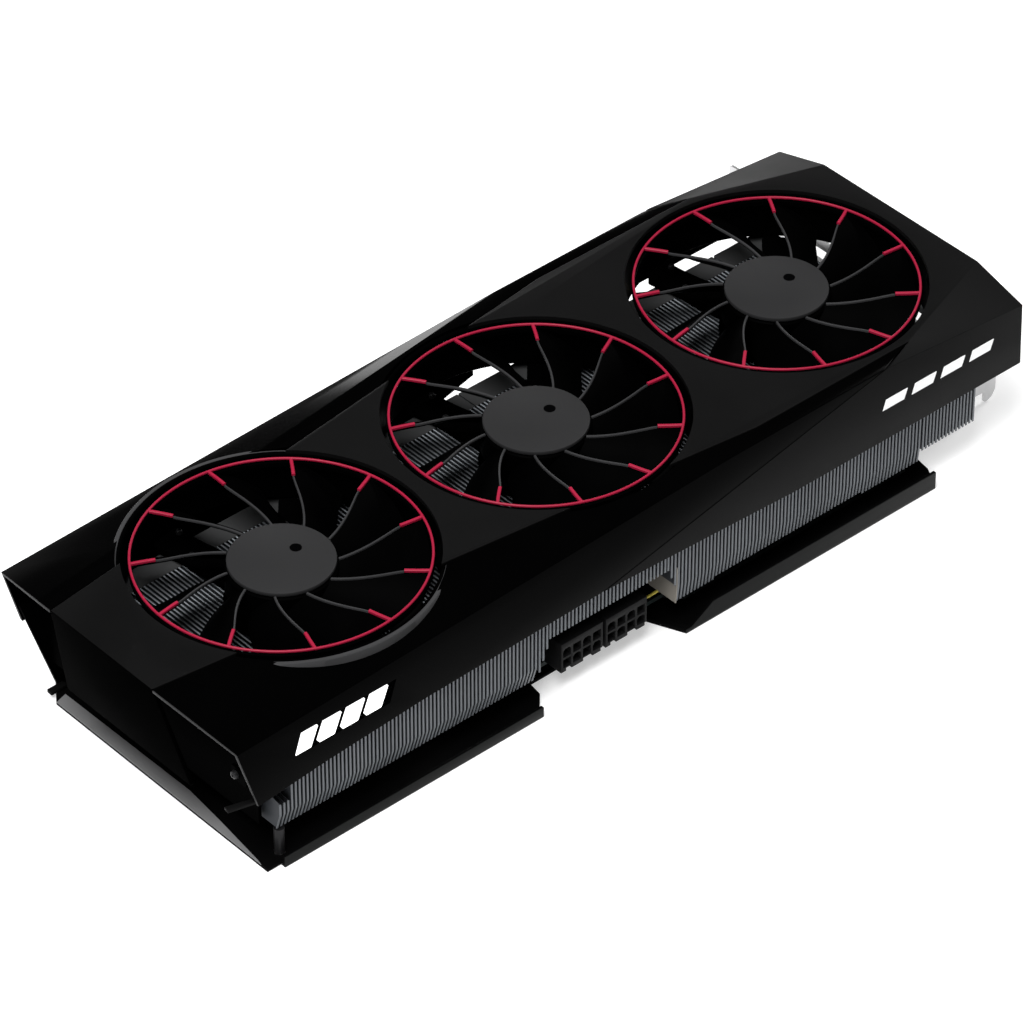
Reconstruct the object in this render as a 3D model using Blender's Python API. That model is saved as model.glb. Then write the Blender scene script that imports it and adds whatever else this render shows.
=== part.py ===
"""Triple-fan graphics card, lying on its backplate with the fans facing up.

+X runs along the card towards the slot bracket, +Y towards the edge connector, +Z up out of the fans.
Every size below is in millimetres and is turned into metres when a mesh is made. Sizes along X and Y are
counted from the middle fan's axis; an empty named card moves that point so that the finished object stands
centred on the origin.
"""

import math

import bmesh
import bpy
from mathutils import Vector

MM = 0.001

# ---- driving dimensions -------------------------------------------------------------------------------

RING_R = 48.0                  # centreline radius of a fan's outer ring
FAN_PITCH = 107.7              # distance between neighbouring fan axes
RING_Z = 62.6                  # height of the fan rings above the surface that the card lies on
PANEL_Z = RING_Z + 0.9         # top of the flat front panel

FREE_END_X = -180.4            # free end of the front panel
BRACKET_END_X = 165.3          # end of the shroud at the slot bracket
SIDE_Y = 58.7                  # half width of the shroud at its upper fold
SIDE_LEAN = 0.032              # how far the side walls lean out for each millimetre of drop
TAB_TIP_X = 177.1              # outer end of the bracket's screw tab
TONGUE_TIP_Y = 84.8            # tip of the bracket's tongues
NEAR_LIP_Y = -60.2             # outer face of the backplate's near lip

CARD_CENTRE_X = (FREE_END_X + TAB_TIP_X) / 2
CARD_CENTRE_Y = (NEAR_LIP_Y + TONGUE_TIP_Y) / 2

GAP = 0.3                      # clearance kept between touching pieces
SHELL_T = 1.5                  # wall of the centre shell
WING_T = 1.2                   # wall of the glossy wings
SEAM = 0.8                     # visible seam between the centre shell and a wing

DUCT_INNER_R = 51.0
DUCT_OUTER_R = 53.0
DUCT_DEPTH = 18.0
ROUND = 60                     # sides of a large circle
SMALL_ROUND = 24               # sides of a small circle

BLADES = 11
BLADE_PHASES = {"left": 13.9, "middle": 17.0, "right": 17.0}      # turn of each rotor at rest, in degrees
BLADE_SWEEP = math.radians(17.8)        # turn of a blade's upper edge between its tick and the cap
TICK_LEAN = math.radians(2.0)           # turn of a tick between its two ends
TICK_END_R = 39.7                        # inner end of the red ticks
HUB_R = 18.3
CAP_R = 17.6

FIN_TOP = 40.6
FIN_BOTTOM = 12.0
FIN_NEAR_Y = -56.8
FIN_FAR_Y = 46.0
FIN_PITCH = 9.6                # the comb stands for fins at a sixth of this pitch
FIN_T = 1.6
SPINE_LOW = 31.0
SPINE_HIGH = 33.0

BOARD_LOW = 6.0
BOARD_TOP = 7.6
BACKPLATE_T = 1.5
LIP_T = 1.2

FANS = {"left": -FAN_PITCH, "middle": 0.0, "right": FAN_PITCH}


# ---- materials and objects ----------------------------------------------------------------------------

def make_material(name, colour, roughness, metallic):
    material = bpy.data.materials.new(name)
    material.use_nodes = True
    shader = material.node_tree.nodes["Principled BSDF"]
    shader.inputs["Base Color"].default_value = (*colour, 1.0)
    shader.inputs["Roughness"].default_value = roughness
    shader.inputs["Metallic"].default_value = metallic
    return material


def clear_scene():
    for old in list(bpy.data.objects):
        bpy.data.objects.remove(old, do_unlink=True)


def make_empty(name, parent, x, y, z):
    empty = bpy.data.objects.new(name, None)
    bpy.context.scene.collection.objects.link(empty)
    empty.parent = parent
    empty.location = (x * MM, y * MM, z * MM)
    return empty


def make_object(name, mesh_builder, material, parent, smooth=False):
    """Turn a bmesh drawn in millimetres into an object in metres."""
    bmesh.ops.recalc_face_normals(mesh_builder, faces=mesh_builder.faces)
    bmesh.ops.scale(mesh_builder, vec=(MM, MM, MM), verts=mesh_builder.verts)
    mesh = bpy.data.meshes.new(name)
    mesh_builder.to_mesh(mesh)
    mesh_builder.free()
    if smooth:
        mesh.shade_smooth()
        mesh.set_sharp_from_angle(angle=math.radians(35))
    thing = bpy.data.objects.new(name, mesh)
    bpy.context.scene.collection.objects.link(thing)
    thing.parent = parent
    if material is not None:
        mesh.materials.append(material)
    return thing


def make_cutter(name, mesh_builder, parent):
    """A tool body for a Boolean: it is never part of the card."""
    tool = make_object(name, mesh_builder, None, parent)
    tool.hide_render = True
    tool.display_type = "WIRE"
    return tool


def boolean(target, tool, operation):
    step = target.modifiers.new(operation.lower() + "_" + tool.name, "BOOLEAN")
    step.object = tool
    step.operation = operation
    step.solver = "EXACT"


def solidify(target, thickness):
    """Give a shell its wall, inwards from its drawn outer face."""
    wall = target.modifiers.new("wall", "SOLIDIFY")
    wall.thickness = thickness * MM
    wall.offset = -1.0
    wall.use_even_offset = True
    wall.use_quality_normals = True


# ---- shapes -------------------------------------------------------------------------------------------

def axis_point(axis, a, b, level):
    """Place an outline's point (a, b) at a level along axis."""
    if axis == "X":
        return (level, a, b)
    if axis == "Y":
        return (a, level, b)
    return (a, b, level)


def add_prism(builder, outline, low, high, axis="Z"):
    """Extrude a closed outline from low to high along axis."""
    bottom = [builder.verts.new(axis_point(axis, a, b, low)) for a, b in outline]
    top = [builder.verts.new(axis_point(axis, a, b, high)) for a, b in outline]
    builder.faces.new(bottom[::-1])
    builder.faces.new(top)
    count = len(outline)
    for i in range(count):
        j = (i + 1) % count
        builder.faces.new((bottom[i], bottom[j], top[j], top[i]))


def prism(outline, low, high, axis="Z"):
    builder = bmesh.new()
    add_prism(builder, outline, low, high, axis)
    return builder


def rectangle(x0, y0, x1, y1):
    return [(x0, y0), (x1, y0), (x1, y1), (x0, y1)]


def box(x0, y0, z0, x1, y1, z1):
    return prism(rectangle(x0, y0, x1, y1), z0, z1)


def circle(radius, count, cx=0.0, cy=0.0):
    step = 2 * math.pi / count
    return [(cx + radius * math.cos(i * step), cy + radius * math.sin(i * step)) for i in range(count)]


def add_turned(builder, profile, count, cx=0.0, cy=0.0):
    """Turn a closed (radius, height) profile about a vertical axis; a radius of 0 is on the axis."""
    rings = []
    for radius, height in profile:
        if radius == 0.0:
            rings.append([builder.verts.new((cx, cy, height))] * count)
        else:
            rings.append([builder.verts.new((x, y, height)) for x, y in circle(radius, count, cx, cy)])
    for inner, outer in zip(rings, rings[1:] + rings[:1]):
        for i in range(count):
            j = (i + 1) % count
            corners = []
            for vert in (inner[i], inner[j], outer[j], outer[i]):
                if vert not in corners:
                    corners.append(vert)
            if len(corners) > 2:
                builder.faces.new(corners)


def turned(profile, count, cx=0.0, cy=0.0):
    builder = bmesh.new()
    add_turned(builder, profile, count, cx, cy)
    return builder


def tube_ring(inner, outer, low, high, count, cx=0.0, cy=0.0):
    profile = [(inner, low), (outer, low), (outer, high), (inner, high)]
    return turned(profile, count, cx, cy)


def disc(radius, low, high, count, cx=0.0, cy=0.0):
    return prism(circle(radius, count, cx, cy), low, high)


def panels(points, faces, flat_names=()):
    """A sheet of flat panels from named points; panels that aren't exactly flat are cut into triangles."""
    builder = bmesh.new()
    verts = {key: builder.verts.new(place) for key, place in points.items()}
    twisted = []
    for key, corners in faces.items():
        face = builder.faces.new([verts[corner] for corner in corners])
        if key not in flat_names:
            twisted.append(face)
    bmesh.ops.triangulate(builder, faces=twisted)
    return builder


def tube_along(points, radius, sides):
    """A round bar through points that stay in one plane of constant Y."""
    builder = bmesh.new()
    rings = []
    for i, (x, y, z) in enumerate(points):
        ahead = Vector(points[min(i + 1, len(points) - 1)])
        behind = Vector(points[max(i - 1, 0)])
        forward = (ahead - behind).normalized()
        across = Vector((0.0, 1.0, 0.0))
        up = forward.cross(across)
        ring = []
        for k in range(sides):
            turn = 2 * math.pi * k / sides
            offset = across * (radius * math.cos(turn)) + up * (radius * math.sin(turn))
            ring.append(builder.verts.new(Vector((x, y, z)) + offset))
        rings.append(ring)
    for first, second in zip(rings, rings[1:]):
        for k in range(sides):
            m = (k + 1) % sides
            builder.faces.new((first[k], first[m], second[m], second[k]))
    builder.faces.new(rings[0][::-1])
    builder.faces.new(rings[-1])
    return builder


# ---- shroud -------------------------------------------------------------------------------------------

def wall_y(height):
    """Half width of the leaning side walls at a height."""
    return SIDE_Y + SIDE_LEAN * (PANEL_Z - height)


FOLD_Z = PANEL_Z - 0.6          # upper fold of the side walls where they are highest
FOLD_END_Z = RING_Z - 7.6       # the same fold at the free end
PANEL_WIDE_X = 48.0             # the front panel widens from the free end up to here
PANEL_WIDE_Y = 53.5
PANEL_FREE_Y = 25.2             # half width of the front panel at the free end
FACET_START_X = 116.6           # where the panel's edge turns in towards the bracket
FACET_END_Y = 37.0
FOLD_TURN_X = 102.3             # where wing, facet and side wall meet
WALL_SPLIT_X = -24.0            # lower end of the seam between wing and side wall


def centre_shell_points():
    points = {}
    low_corner = RING_Z - 29.2
    hang = RING_Z - 40.3
    for side, sign in (("near", -1.0), ("far", 1.0)):
        points["free_" + side] = (FREE_END_X, sign * PANEL_FREE_Y, PANEL_Z)
        points["wide_" + side] = (PANEL_WIDE_X, sign * PANEL_WIDE_Y, PANEL_Z)
        points["facet_" + side] = (FACET_START_X, sign * PANEL_WIDE_Y, PANEL_Z)
        points["end_" + side] = (BRACKET_END_X, sign * FACET_END_Y, PANEL_Z)
        points["turn_" + side] = (FOLD_TURN_X, sign * wall_y(FOLD_Z), FOLD_Z)
        points["corner_" + side] = (BRACKET_END_X, sign * wall_y(RING_Z - 5.3), RING_Z - 5.3)
        points["sill_" + side] = (BRACKET_END_X, sign * wall_y(RING_Z - 20), RING_Z - 20)
        points["low_end_" + side] = (BRACKET_END_X, sign * wall_y(low_corner), low_corner)
        points["low_mid_" + side] = (60.0, sign * wall_y(low_corner + 0.2), low_corner + 0.2)
        points["low_split_" + side] = (WALL_SPLIT_X, sign * wall_y(RING_Z - 25.2), RING_Z - 25.2)
        points["hang_" + side] = (FREE_END_X + 9.0, sign * 31.0, hang)
    return points


def centre_shell(material, card):
    """Matte centre shell: front panel, corner facets, side walls, free-end closing panel and fan ducts."""
    faces = {
        "front": ["free_far", "free_near", "wide_near", "facet_near", "end_near", "end_far",
                  "facet_far", "wide_far"],
        "free_end": ["free_near", "free_far", "hang_far", "hang_near"],
        "bracket_end": ["end_far", "end_near", "corner_near", "sill_near", "sill_far", "corner_far"],
    }
    for side in ("near", "far"):
        faces["facet_" + side] = ["facet_" + side, "turn_" + side, "corner_" + side, "end_" + side]
        wall = ["turn", "low_split", "low_mid", "low_end", "sill", "corner"]
        faces["wall_" + side] = [part + "_" + side for part in wall]
    flat = ("front", "free_end", "bracket_end")
    shell = make_object("shroud_centre", panels(centre_shell_points(), faces, flat), material, card)
    solidify(shell, SHELL_T)
    middle_r = (DUCT_INNER_R + DUCT_OUTER_R) / 2
    for name, x in FANS.items():
        hole = make_cutter("cut_hole_" + name, disc(middle_r, RING_Z - 30, RING_Z + 10, ROUND, x), card)
        boolean(shell, hole, "DIFFERENCE")
    for name, x in FANS.items():
        duct = tube_ring(DUCT_INNER_R, DUCT_OUTER_R, RING_Z - DUCT_DEPTH, PANEL_Z + 0.15, ROUND, x)
        boolean(shell, make_cutter("add_duct_" + name, duct, card), "UNION")
    return shell


def wing_points(sign):
    split_shift = 2.5           # the slanted seam beside the side wall, measured along X
    return {
        "free_top": (FREE_END_X, sign * (PANEL_FREE_Y + SEAM), PANEL_Z - 0.1),
        "free_fold": (FREE_END_X + 5.9, sign * SIDE_Y, FOLD_END_Z),
        "wide_top": (PANEL_WIDE_X, sign * (PANEL_WIDE_Y + SEAM), PANEL_Z - 0.1),
        "wide_fold": (30.7, sign * wall_y(FOLD_Z), FOLD_Z),
        "facet_top": (FACET_START_X - 4.9, sign * (PANEL_WIDE_Y + SEAM), PANEL_Z - 0.1),
        "turn": (FOLD_TURN_X - 3.4, sign * wall_y(FOLD_Z), FOLD_Z),
        "low_split": (WALL_SPLIT_X - split_shift, sign * wall_y(RING_Z - 25.2), RING_Z - 25.2),
        "low_mid": (-100.0, sign * wall_y(RING_Z - 27.0), RING_Z - 27.0),
        "low_turn": (-140.6, sign * wall_y(RING_Z - 29.4), RING_Z - 29.4),
        "low_free": (-167.5, sign * wall_y(RING_Z - 31.9), RING_Z - 31.9),
    }


def liner(material, card):
    """Black liner inside the free end: a far skirt down to the backplate, and a baffle before the fins."""
    high = 39.0
    low = BACKPLATE_T + GAP
    high_y = wall_y(high) - WING_T - 0.4
    low_y = 55.0
    sheet = prism([(-169.4, high), (-158.5, low), (-66.0, low), (-58.0, high)], -WING_T, 0.0, "Y")
    for vert in sheet.verts:
        vert.co.y += low_y + (high_y - low_y) * (vert.co.z - low) / (high - low)
    skirt = make_object("shroud_liner", sheet, material, card)
    shoulder = 54.0
    under_duct = 44.0
    outline = [(-49.5, FIN_BOTTOM), (54.9, FIN_BOTTOM), (57.0, high - 1.0), (52.5, shoulder),
               (27.0, shoulder), (21.0, under_duct), (-21.0, under_duct), (-27.0, shoulder), (-49.5, shoulder)]
    baffle = prism(outline, -159.6, -158.4, "X")
    boolean(skirt, make_cutter("add_baffle", baffle, card), "UNION")


LIGHT_BAR = (-152.0, 42.2, -111.0, 49.6)      # low x, low z, high x, high z of the lit bar


def wing(name, sign, material, card):
    """Glossy wing: a sloping top strip and a side wall, joined at the long upper fold."""
    faces = {
        "top_free": ["free_top", "free_fold", "wide_fold", "wide_top"],
        "top_wide": ["wide_top", "wide_fold", "turn", "facet_top"],
        "side": ["free_fold", "low_free", "low_turn", "low_mid", "low_split", "turn", "wide_fold"],
    }
    shell = make_object(name, panels(wing_points(sign), faces), material, card)
    solidify(shell, WING_T)
    for fan, x in FANS.items():
        reach = disc(DUCT_OUTER_R + 0.4, RING_Z - 12, RING_Z + 10, ROUND, x)
        boolean(shell, make_cutter("cut_" + name + "_" + fan, reach, card), "DIFFERENCE")
    return shell


def slanted_bar(low_x, low_z, high_x, high_z, y0, y1):
    """A bar whose two short ends lean, lying in the near wall."""
    lean = 3.0
    outline = [(low_x, low_z), (high_x - lean, low_z), (high_x, high_z), (low_x + lean, high_z)]
    return prism(outline, y0, y1, "Y")


def light_bar(wing_near, material, card):
    """Lit bar let through the near wing."""
    low_x, low_z, high_x, high_z = LIGHT_BAR
    slot = slanted_bar(low_x - GAP, low_z - GAP, high_x + GAP, high_z + GAP, -62.0, -56.0)
    boolean(wing_near, make_cutter("cut_light_bar", slot, card), "DIFFERENCE")
    bar = slanted_bar(low_x, low_z, high_x, high_z, -wall_y(46.0) - 0.1, -57.3)
    return make_object("light_bar", bar, material, card)


# ---- fans ---------------------------------------------------------------------------------------------

def blade_angle(radius):
    """Angle of a blade's upper edge behind its tip: nearly radial under the tick, then swept."""
    if radius > TICK_END_R:
        return -TICK_LEAN * (RING_R - radius) / (RING_R - TICK_END_R)
    share = (TICK_END_R - radius) / (TICK_END_R - CAP_R)
    return -TICK_LEAN - BLADE_SWEEP * share ** 1.25


def blade_edges(radius):
    """Heights of a blade's upper and lower edge and the angle between them, at a radius."""
    share = (radius - CAP_R) / (RING_R - CAP_R)
    top = -4.9 + 2.6 * share
    bottom = -13.0 + 0.8 * share
    chord = 9.0 + 8.0 * share
    return top, bottom, chord / radius


def add_blade(builder, phase):
    """One swept, pitched blade of even thickness, from inside the hub to inside the hoop."""
    radii = (HUB_R - 0.6, 27.0, TICK_END_R, RING_R - 0.2)
    across = 3
    thick = 0.55
    rows = []
    for radius in radii:
        top, bottom, spread = blade_edges(radius)
        row = []
        for k in range(across):
            share = k / (across - 1)
            turn = phase + blade_angle(radius) - spread * share
            height = top + (bottom - top) * share + 0.9 * math.sin(math.pi * share)
            row.append((radius, turn, height))
        rows.append(row)

    def vert(entry, lift):
        radius, turn, height = entry
        return builder.verts.new((radius * math.cos(turn), radius * math.sin(turn), height + lift))

    upper = [[vert(entry, thick) for entry in row] for row in rows]
    lower = [[vert(entry, -thick) for entry in row] for row in rows]
    last_row = len(radii) - 1
    last_col = across - 1
    for i in range(last_row):
        for k in range(last_col):
            builder.faces.new((upper[i][k], upper[i + 1][k], upper[i + 1][k + 1], upper[i][k + 1]))
            builder.faces.new((lower[i][k], lower[i][k + 1], lower[i + 1][k + 1], lower[i + 1][k]))
        builder.faces.new((upper[i][0], lower[i][0], lower[i + 1][0], upper[i + 1][0]))
        builder.faces.new((upper[i][last_col], upper[i + 1][last_col],
                           lower[i + 1][last_col], lower[i][last_col]))
    for k in range(last_col):
        builder.faces.new((upper[0][k], upper[0][k + 1], lower[0][k + 1], lower[0][k]))
        builder.faces.new((upper[last_row][k], lower[last_row][k],
                           lower[last_row][k + 1], upper[last_row][k + 1]))


def fan_rotor(name, material, axis):
    """Hub cup, blades and outer hoop in one piece; it is drawn about the fan's axis."""
    cup = [(0.0, -3.9), (HUB_R, -3.9), (HUB_R, -14.0), (HUB_R - 1.9, -14.0), (HUB_R - 1.9, -5.6), (0.0, -5.6)]
    rotor = make_object("fan_rotor_" + name, turned(cup, 44), material, axis, smooth=True)
    blades = bmesh.new()
    for k in range(BLADES):
        add_blade(blades, math.radians(BLADE_PHASES[name]) + 2 * math.pi * k / BLADES)
    boolean(rotor, make_cutter("add_blades_" + name, blades, axis), "UNION")
    hoop = tube_ring(RING_R - 0.6, RING_R + 0.6, -3.2, -1.5, 44)
    boolean(rotor, make_cutter("add_hoop_" + name, hoop, axis), "UNION")
    return rotor


def fan_trim(name, material, axis):
    """Red ring on the hoop, with a short inward tick over every blade."""
    low = -1.5 + GAP
    per_blade = 4
    inner_r = RING_R - 0.55
    outer_r = RING_R + 0.55
    tick_half = 0.65
    builder = bmesh.new()
    step = 2 * math.pi / (BLADES * per_blade)
    half_turn = tick_half / inner_r
    inner = []
    outer = []
    for k in range(BLADES):
        tip = math.radians(BLADE_PHASES[name]) + 2 * math.pi * k / BLADES
        slant = blade_angle(TICK_END_R)
        end_half = tick_half / TICK_END_R
        inner.append((inner_r, tip - half_turn))
        inner.append((TICK_END_R, tip + slant - end_half))
        inner.append((TICK_END_R, tip + slant + end_half))
        inner.append((inner_r, tip + half_turn))
        outer.append((outer_r, tip))
        for m in range(1, per_blade):
            inner.append((inner_r, tip + m * step))
            outer.append((outer_r, tip + m * step))

    def ring_of(polar, height):
        return [builder.verts.new((r * math.cos(a), r * math.sin(a), height)) for r, a in polar]

    inner_low, inner_high = ring_of(inner, low), ring_of(inner, 0.0)
    outer_low, outer_high = ring_of(outer, low), ring_of(outer, 0.0)
    per_inner = per_blade + 3
    for k in range(BLADES):
        first = k * per_inner
        start = k * per_blade
        for low_side in (True, False):
            ins = inner_low if low_side else inner_high
            outs = outer_low if low_side else outer_high
            count_in, count_out = len(ins), len(outs)
            builder.faces.new((ins[first], ins[first + 1], ins[first + 2], ins[first + 3]))
            builder.faces.new((ins[first], ins[first + 3], outs[start]))
            for m in range(per_blade):
                a = ins[first + 3 + m]
                b = ins[(first + 4 + m) % count_in]
                c = outs[(start + m + 1) % count_out]
                builder.faces.new((a, b, c, outs[start + m]))
    for lows, highs in ((inner_low, inner_high), (outer_low, outer_high)):
        for i in range(len(lows)):
            j = (i + 1) % len(lows)
            builder.faces.new((lows[i], lows[j], highs[j], highs[i]))
    return make_object("fan_trim_" + name, builder, material, axis)


def fan_base(name, material, axis):
    """Motor base plate with four arms that reach the duct."""
    arm_end = DUCT_INNER_R - 0.5
    base = make_object("fan_base_" + name, disc(19.0, -20.8, -18.4, 24), material, axis)
    for i, degrees in enumerate((100, 45, 280, 225)):
        turn = math.radians(degrees)
        corners = ((14.0, -7.0), (40.0, -7.0), (arm_end, -9.0), (arm_end, 9.0), (40.0, 7.0), (14.0, 7.0))
        outline = []
        for along, aside in corners:
            reach = math.sqrt(along * along - aside * aside)
            x = reach * math.cos(turn) - aside * math.sin(turn)
            y = reach * math.sin(turn) + aside * math.cos(turn)
            outline.append((x, y))
        arm = make_cutter(f"add_arm_{name}_{i}", prism(outline, -20.8, -18.4), axis)
        boolean(base, arm, "UNION")
    return base


def fan(name, materials, card):
    """One complete fan about its own axis."""
    axis = make_empty("fan_axis_" + name, card, FANS[name], 0.0, RING_Z)
    fan_rotor(name, materials["fan_plastic"], axis)
    fan_trim(name, materials["fan_red"], axis)
    cap = turned([(0.0, -3.6), (CAP_R, -3.6), (CAP_R, -2.5), (CAP_R - 0.5, -2.1), (0.0, -2.1)], 44)
    make_object("fan_cap_" + name, cap, materials["cap_grey"], axis, smooth=True)
    shaft = disc(1.5, -17.6, -5.9, SMALL_ROUND)
    make_object("fan_shaft_" + name, shaft, materials["steel"], axis, smooth=True)
    bearing = tube_ring(1.8, 4.4, -18.1, -7.0, SMALL_ROUND)
    make_object("fan_bearing_" + name, bearing, materials["brass"], axis, smooth=True)
    stator = tube_ring(4.8, 13.5, -17.6, -8.0, SMALL_ROUND)
    make_object("fan_stator_" + name, stator, materials["copper"], axis, smooth=True)
    fan_base(name, materials["fan_plastic"], axis)


# ---- cooler -------------------------------------------------------------------------------------------

def comb_outline(x0, x1, bottom):
    """Outline, in X and Z, of fins that stand up and down from one spine."""
    count = max(2, round((x1 - x0 - FIN_T) / FIN_PITCH) + 1)
    pitch = (x1 - x0 - FIN_T) / (count - 1)
    starts = [x0 + i * pitch for i in range(count)]
    outline = []
    for i, start in enumerate(starts):
        outline += [(start, bottom), (start + FIN_T, bottom)]
        if i < count - 1:
            outline += [(start + FIN_T, SPINE_LOW), (starts[i + 1], SPINE_LOW)]
    for i, start in reversed(list(enumerate(starts))):
        outline += [(start + FIN_T, FIN_TOP), (start, FIN_TOP)]
        if i > 0:
            outline += [(start, SPINE_HIGH), (starts[i - 1] + FIN_T, SPINE_HIGH)]
    return outline


PIPE_YS = (-30.0, -13.0, 5.0, 22.0)
PIPE_R = 3.0
PIPE_LOW = 16.4                 # height of a heat pipe over the cold plate
PIPE_HIGH = 20.8                # height of a heat pipe everywhere else
PLATE_X = 62.0
PLATE_HIGH = 12.6


def fin_stack(name, x0, x1, bottom, material, card):
    """A stack of fins, drawn as a coarse comb, with a groove for each heat pipe."""
    comb = prism(comb_outline(x0, x1, bottom), FIN_NEAR_Y, FIN_FAR_Y, "Y")
    stack = make_object("fin_stack_" + name, comb, material, card)
    clear = PIPE_R + GAP
    if bottom < PIPE_HIGH:
        grooves = bmesh.new()
        for y in PIPE_YS:
            outline = rectangle(x0 - 5, y - clear, x1 + 5, y + clear)
            add_prism(grooves, outline, bottom - 5, PIPE_HIGH + clear)
        boolean(stack, make_cutter("cut_grooves_" + name, grooves, card), "DIFFERENCE")
    return stack


def cooler(materials, card):
    """Fin stacks, heat pipes and cold plate."""
    fins = materials["fin_aluminium"]
    fin_stack("left", -157.0, -45.4, FIN_BOTTOM, fins, card)
    fin_stack("centre", -44.8, 5.8, 27.5, fins, card)
    right = fin_stack("right", 6.4, 121.5, FIN_BOTTOM, fins, card)
    seat = box(PLATE_X - 32.5, -37.0, FIN_BOTTOM - 5, PLATE_X + 32.5, 29.0, PLATE_HIGH + GAP)
    boolean(right, make_cutter("cut_plate_seat", seat, card), "DIFFERENCE")
    fin_stack("end", 122.5, 147.0, 16.3, fins, card)
    for i, y in enumerate(PIPE_YS):
        route = [(-150.0, y, PIPE_HIGH), (0.0, y, PIPE_HIGH), (PLATE_X - 36.0, y, PIPE_LOW),
                 (PLATE_X + 36.0, y, PIPE_LOW), (PLATE_X + 54.0, y, PIPE_HIGH), (141.0, y, PIPE_HIGH)]
        make_object(f"heat_pipe_{i + 1}", tube_along(route, PIPE_R, 10), materials["copper"], card,
                    smooth=True)
    plate = box(PLATE_X - 32, -36.5, 9.9, PLATE_X + 32, 28.5, PLATE_HIGH)
    make_object("cold_plate", plate, materials["copper"], card)


# ---- board --------------------------------------------------------------------------------------------

def board_outline():
    """Board with the edge connector's two contact tongues on its far side."""
    far = 60.0
    finger = 68.5
    return [(-50.0, -46.5), (14.0, -46.5), (19.0, -52.0), (120.0, -52.0), (126.0, -44.0), (160.0, -38.0),
            (160.0, far), (139.0, far), (139.0, finger), (127.6, finger), (127.6, far + 0.6),
            (125.7, far + 0.6), (125.7, finger), (54.2, finger), (54.2, far), (-50.0, far)]


def board(materials, card):
    """Circuit board and the larger parts on it."""
    plate = prism(board_outline(), BOARD_LOW, BOARD_TOP)
    make_object("circuit_board", plate, materials["board"], card)
    chip_x, chip_y = PLATE_X, -4.0
    package_low = BOARD_TOP + GAP
    package = box(chip_x - 20, chip_y - 20, package_low, chip_x + 20, chip_y + 20, package_low + 0.6)
    make_object("gpu_package", package, materials["board"], card)
    die_low = package_low + 0.6 + 0.2
    die = box(chip_x - 11, chip_y - 13, die_low, chip_x + 11, chip_y + 13, die_low + 0.8)
    make_object("gpu_die", die, materials["silicon"], card)
    spots = ((chip_x - 29, -16), (chip_x - 29, 8), (chip_x + 29, -16), (chip_x + 29, 8))
    for i, (x, y) in enumerate(spots):
        chip = box(x - 6, y - 7, package_low, x + 6, y + 7, package_low + 1.2)
        make_object(f"memory_chip_{i + 1}", chip, materials["chip_black"], card)
    for i in range(3):
        x = 108.0 + 11.0 * i
        coil = box(x - 4.5, -34, package_low, x + 4.5, -24, package_low + 3.6)
        make_object(f"inductor_{i + 1}", coil, materials["chip_black"], card)


SOCKET_LOW = BOARD_TOP + GAP
SOCKET_HIGH = 19.7
SOCKET_FRONT_Y = -54.8
SOCKET_BACK_Y = -42.8


def power_socket(name, x0, material, card):
    """Eight-way power socket, open towards the near side, with a keyed foot along its lower edge."""
    width = 18.0
    pitch = 4.3
    hole = 2.9
    body = box(x0, SOCKET_FRONT_Y, SOCKET_LOW + 1.2, x0 + width, SOCKET_BACK_Y, SOCKET_HIGH)
    socket = make_object(name, body, material, card)
    feet = bmesh.new()
    for start, end in ((0.0, 2.2), (4.6, 9.6), (13.6, 17.2)):
        outline = rectangle(x0 + start, SOCKET_FRONT_Y, x0 + end, SOCKET_BACK_Y)
        add_prism(feet, outline, SOCKET_LOW, SOCKET_LOW + 2.0)
    boolean(socket, make_cutter("add_feet_" + name, feet, card), "UNION")
    ways = bmesh.new()
    for column in range(4):
        for row in range(2):
            cx = x0 + width / 2 + (column - 1.5) * pitch
            cz = SOCKET_LOW + 3.4 + row * pitch
            outline = rectangle(cx - hole / 2, SOCKET_FRONT_Y - 1, cx + hole / 2, SOCKET_BACK_Y - 2.5)
            add_prism(ways, outline, cz - hole / 2, cz + hole / 2)
    boolean(socket, make_cutter("cut_ways_" + name, ways, card), "DIFFERENCE")
    return socket


# ---- bracket and display sockets ----------------------------------------------------------------------

BRACKET_X0 = 166.2
BRACKET_X1 = 167.2
BRACKET_LOW_Z = 0.4
SLOT_PITCH = 20.32
TAB_Y = -37.0
DISPLAY_SOCKETS = ((-20.0, 16.4), (1.5, 16.4), (23.0, 16.4), (44.0, 15.0))     # centre y and width of each
DISPLAY_LOW = BOARD_TOP + GAP
DISPLAY_HIGH = 13.8


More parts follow.
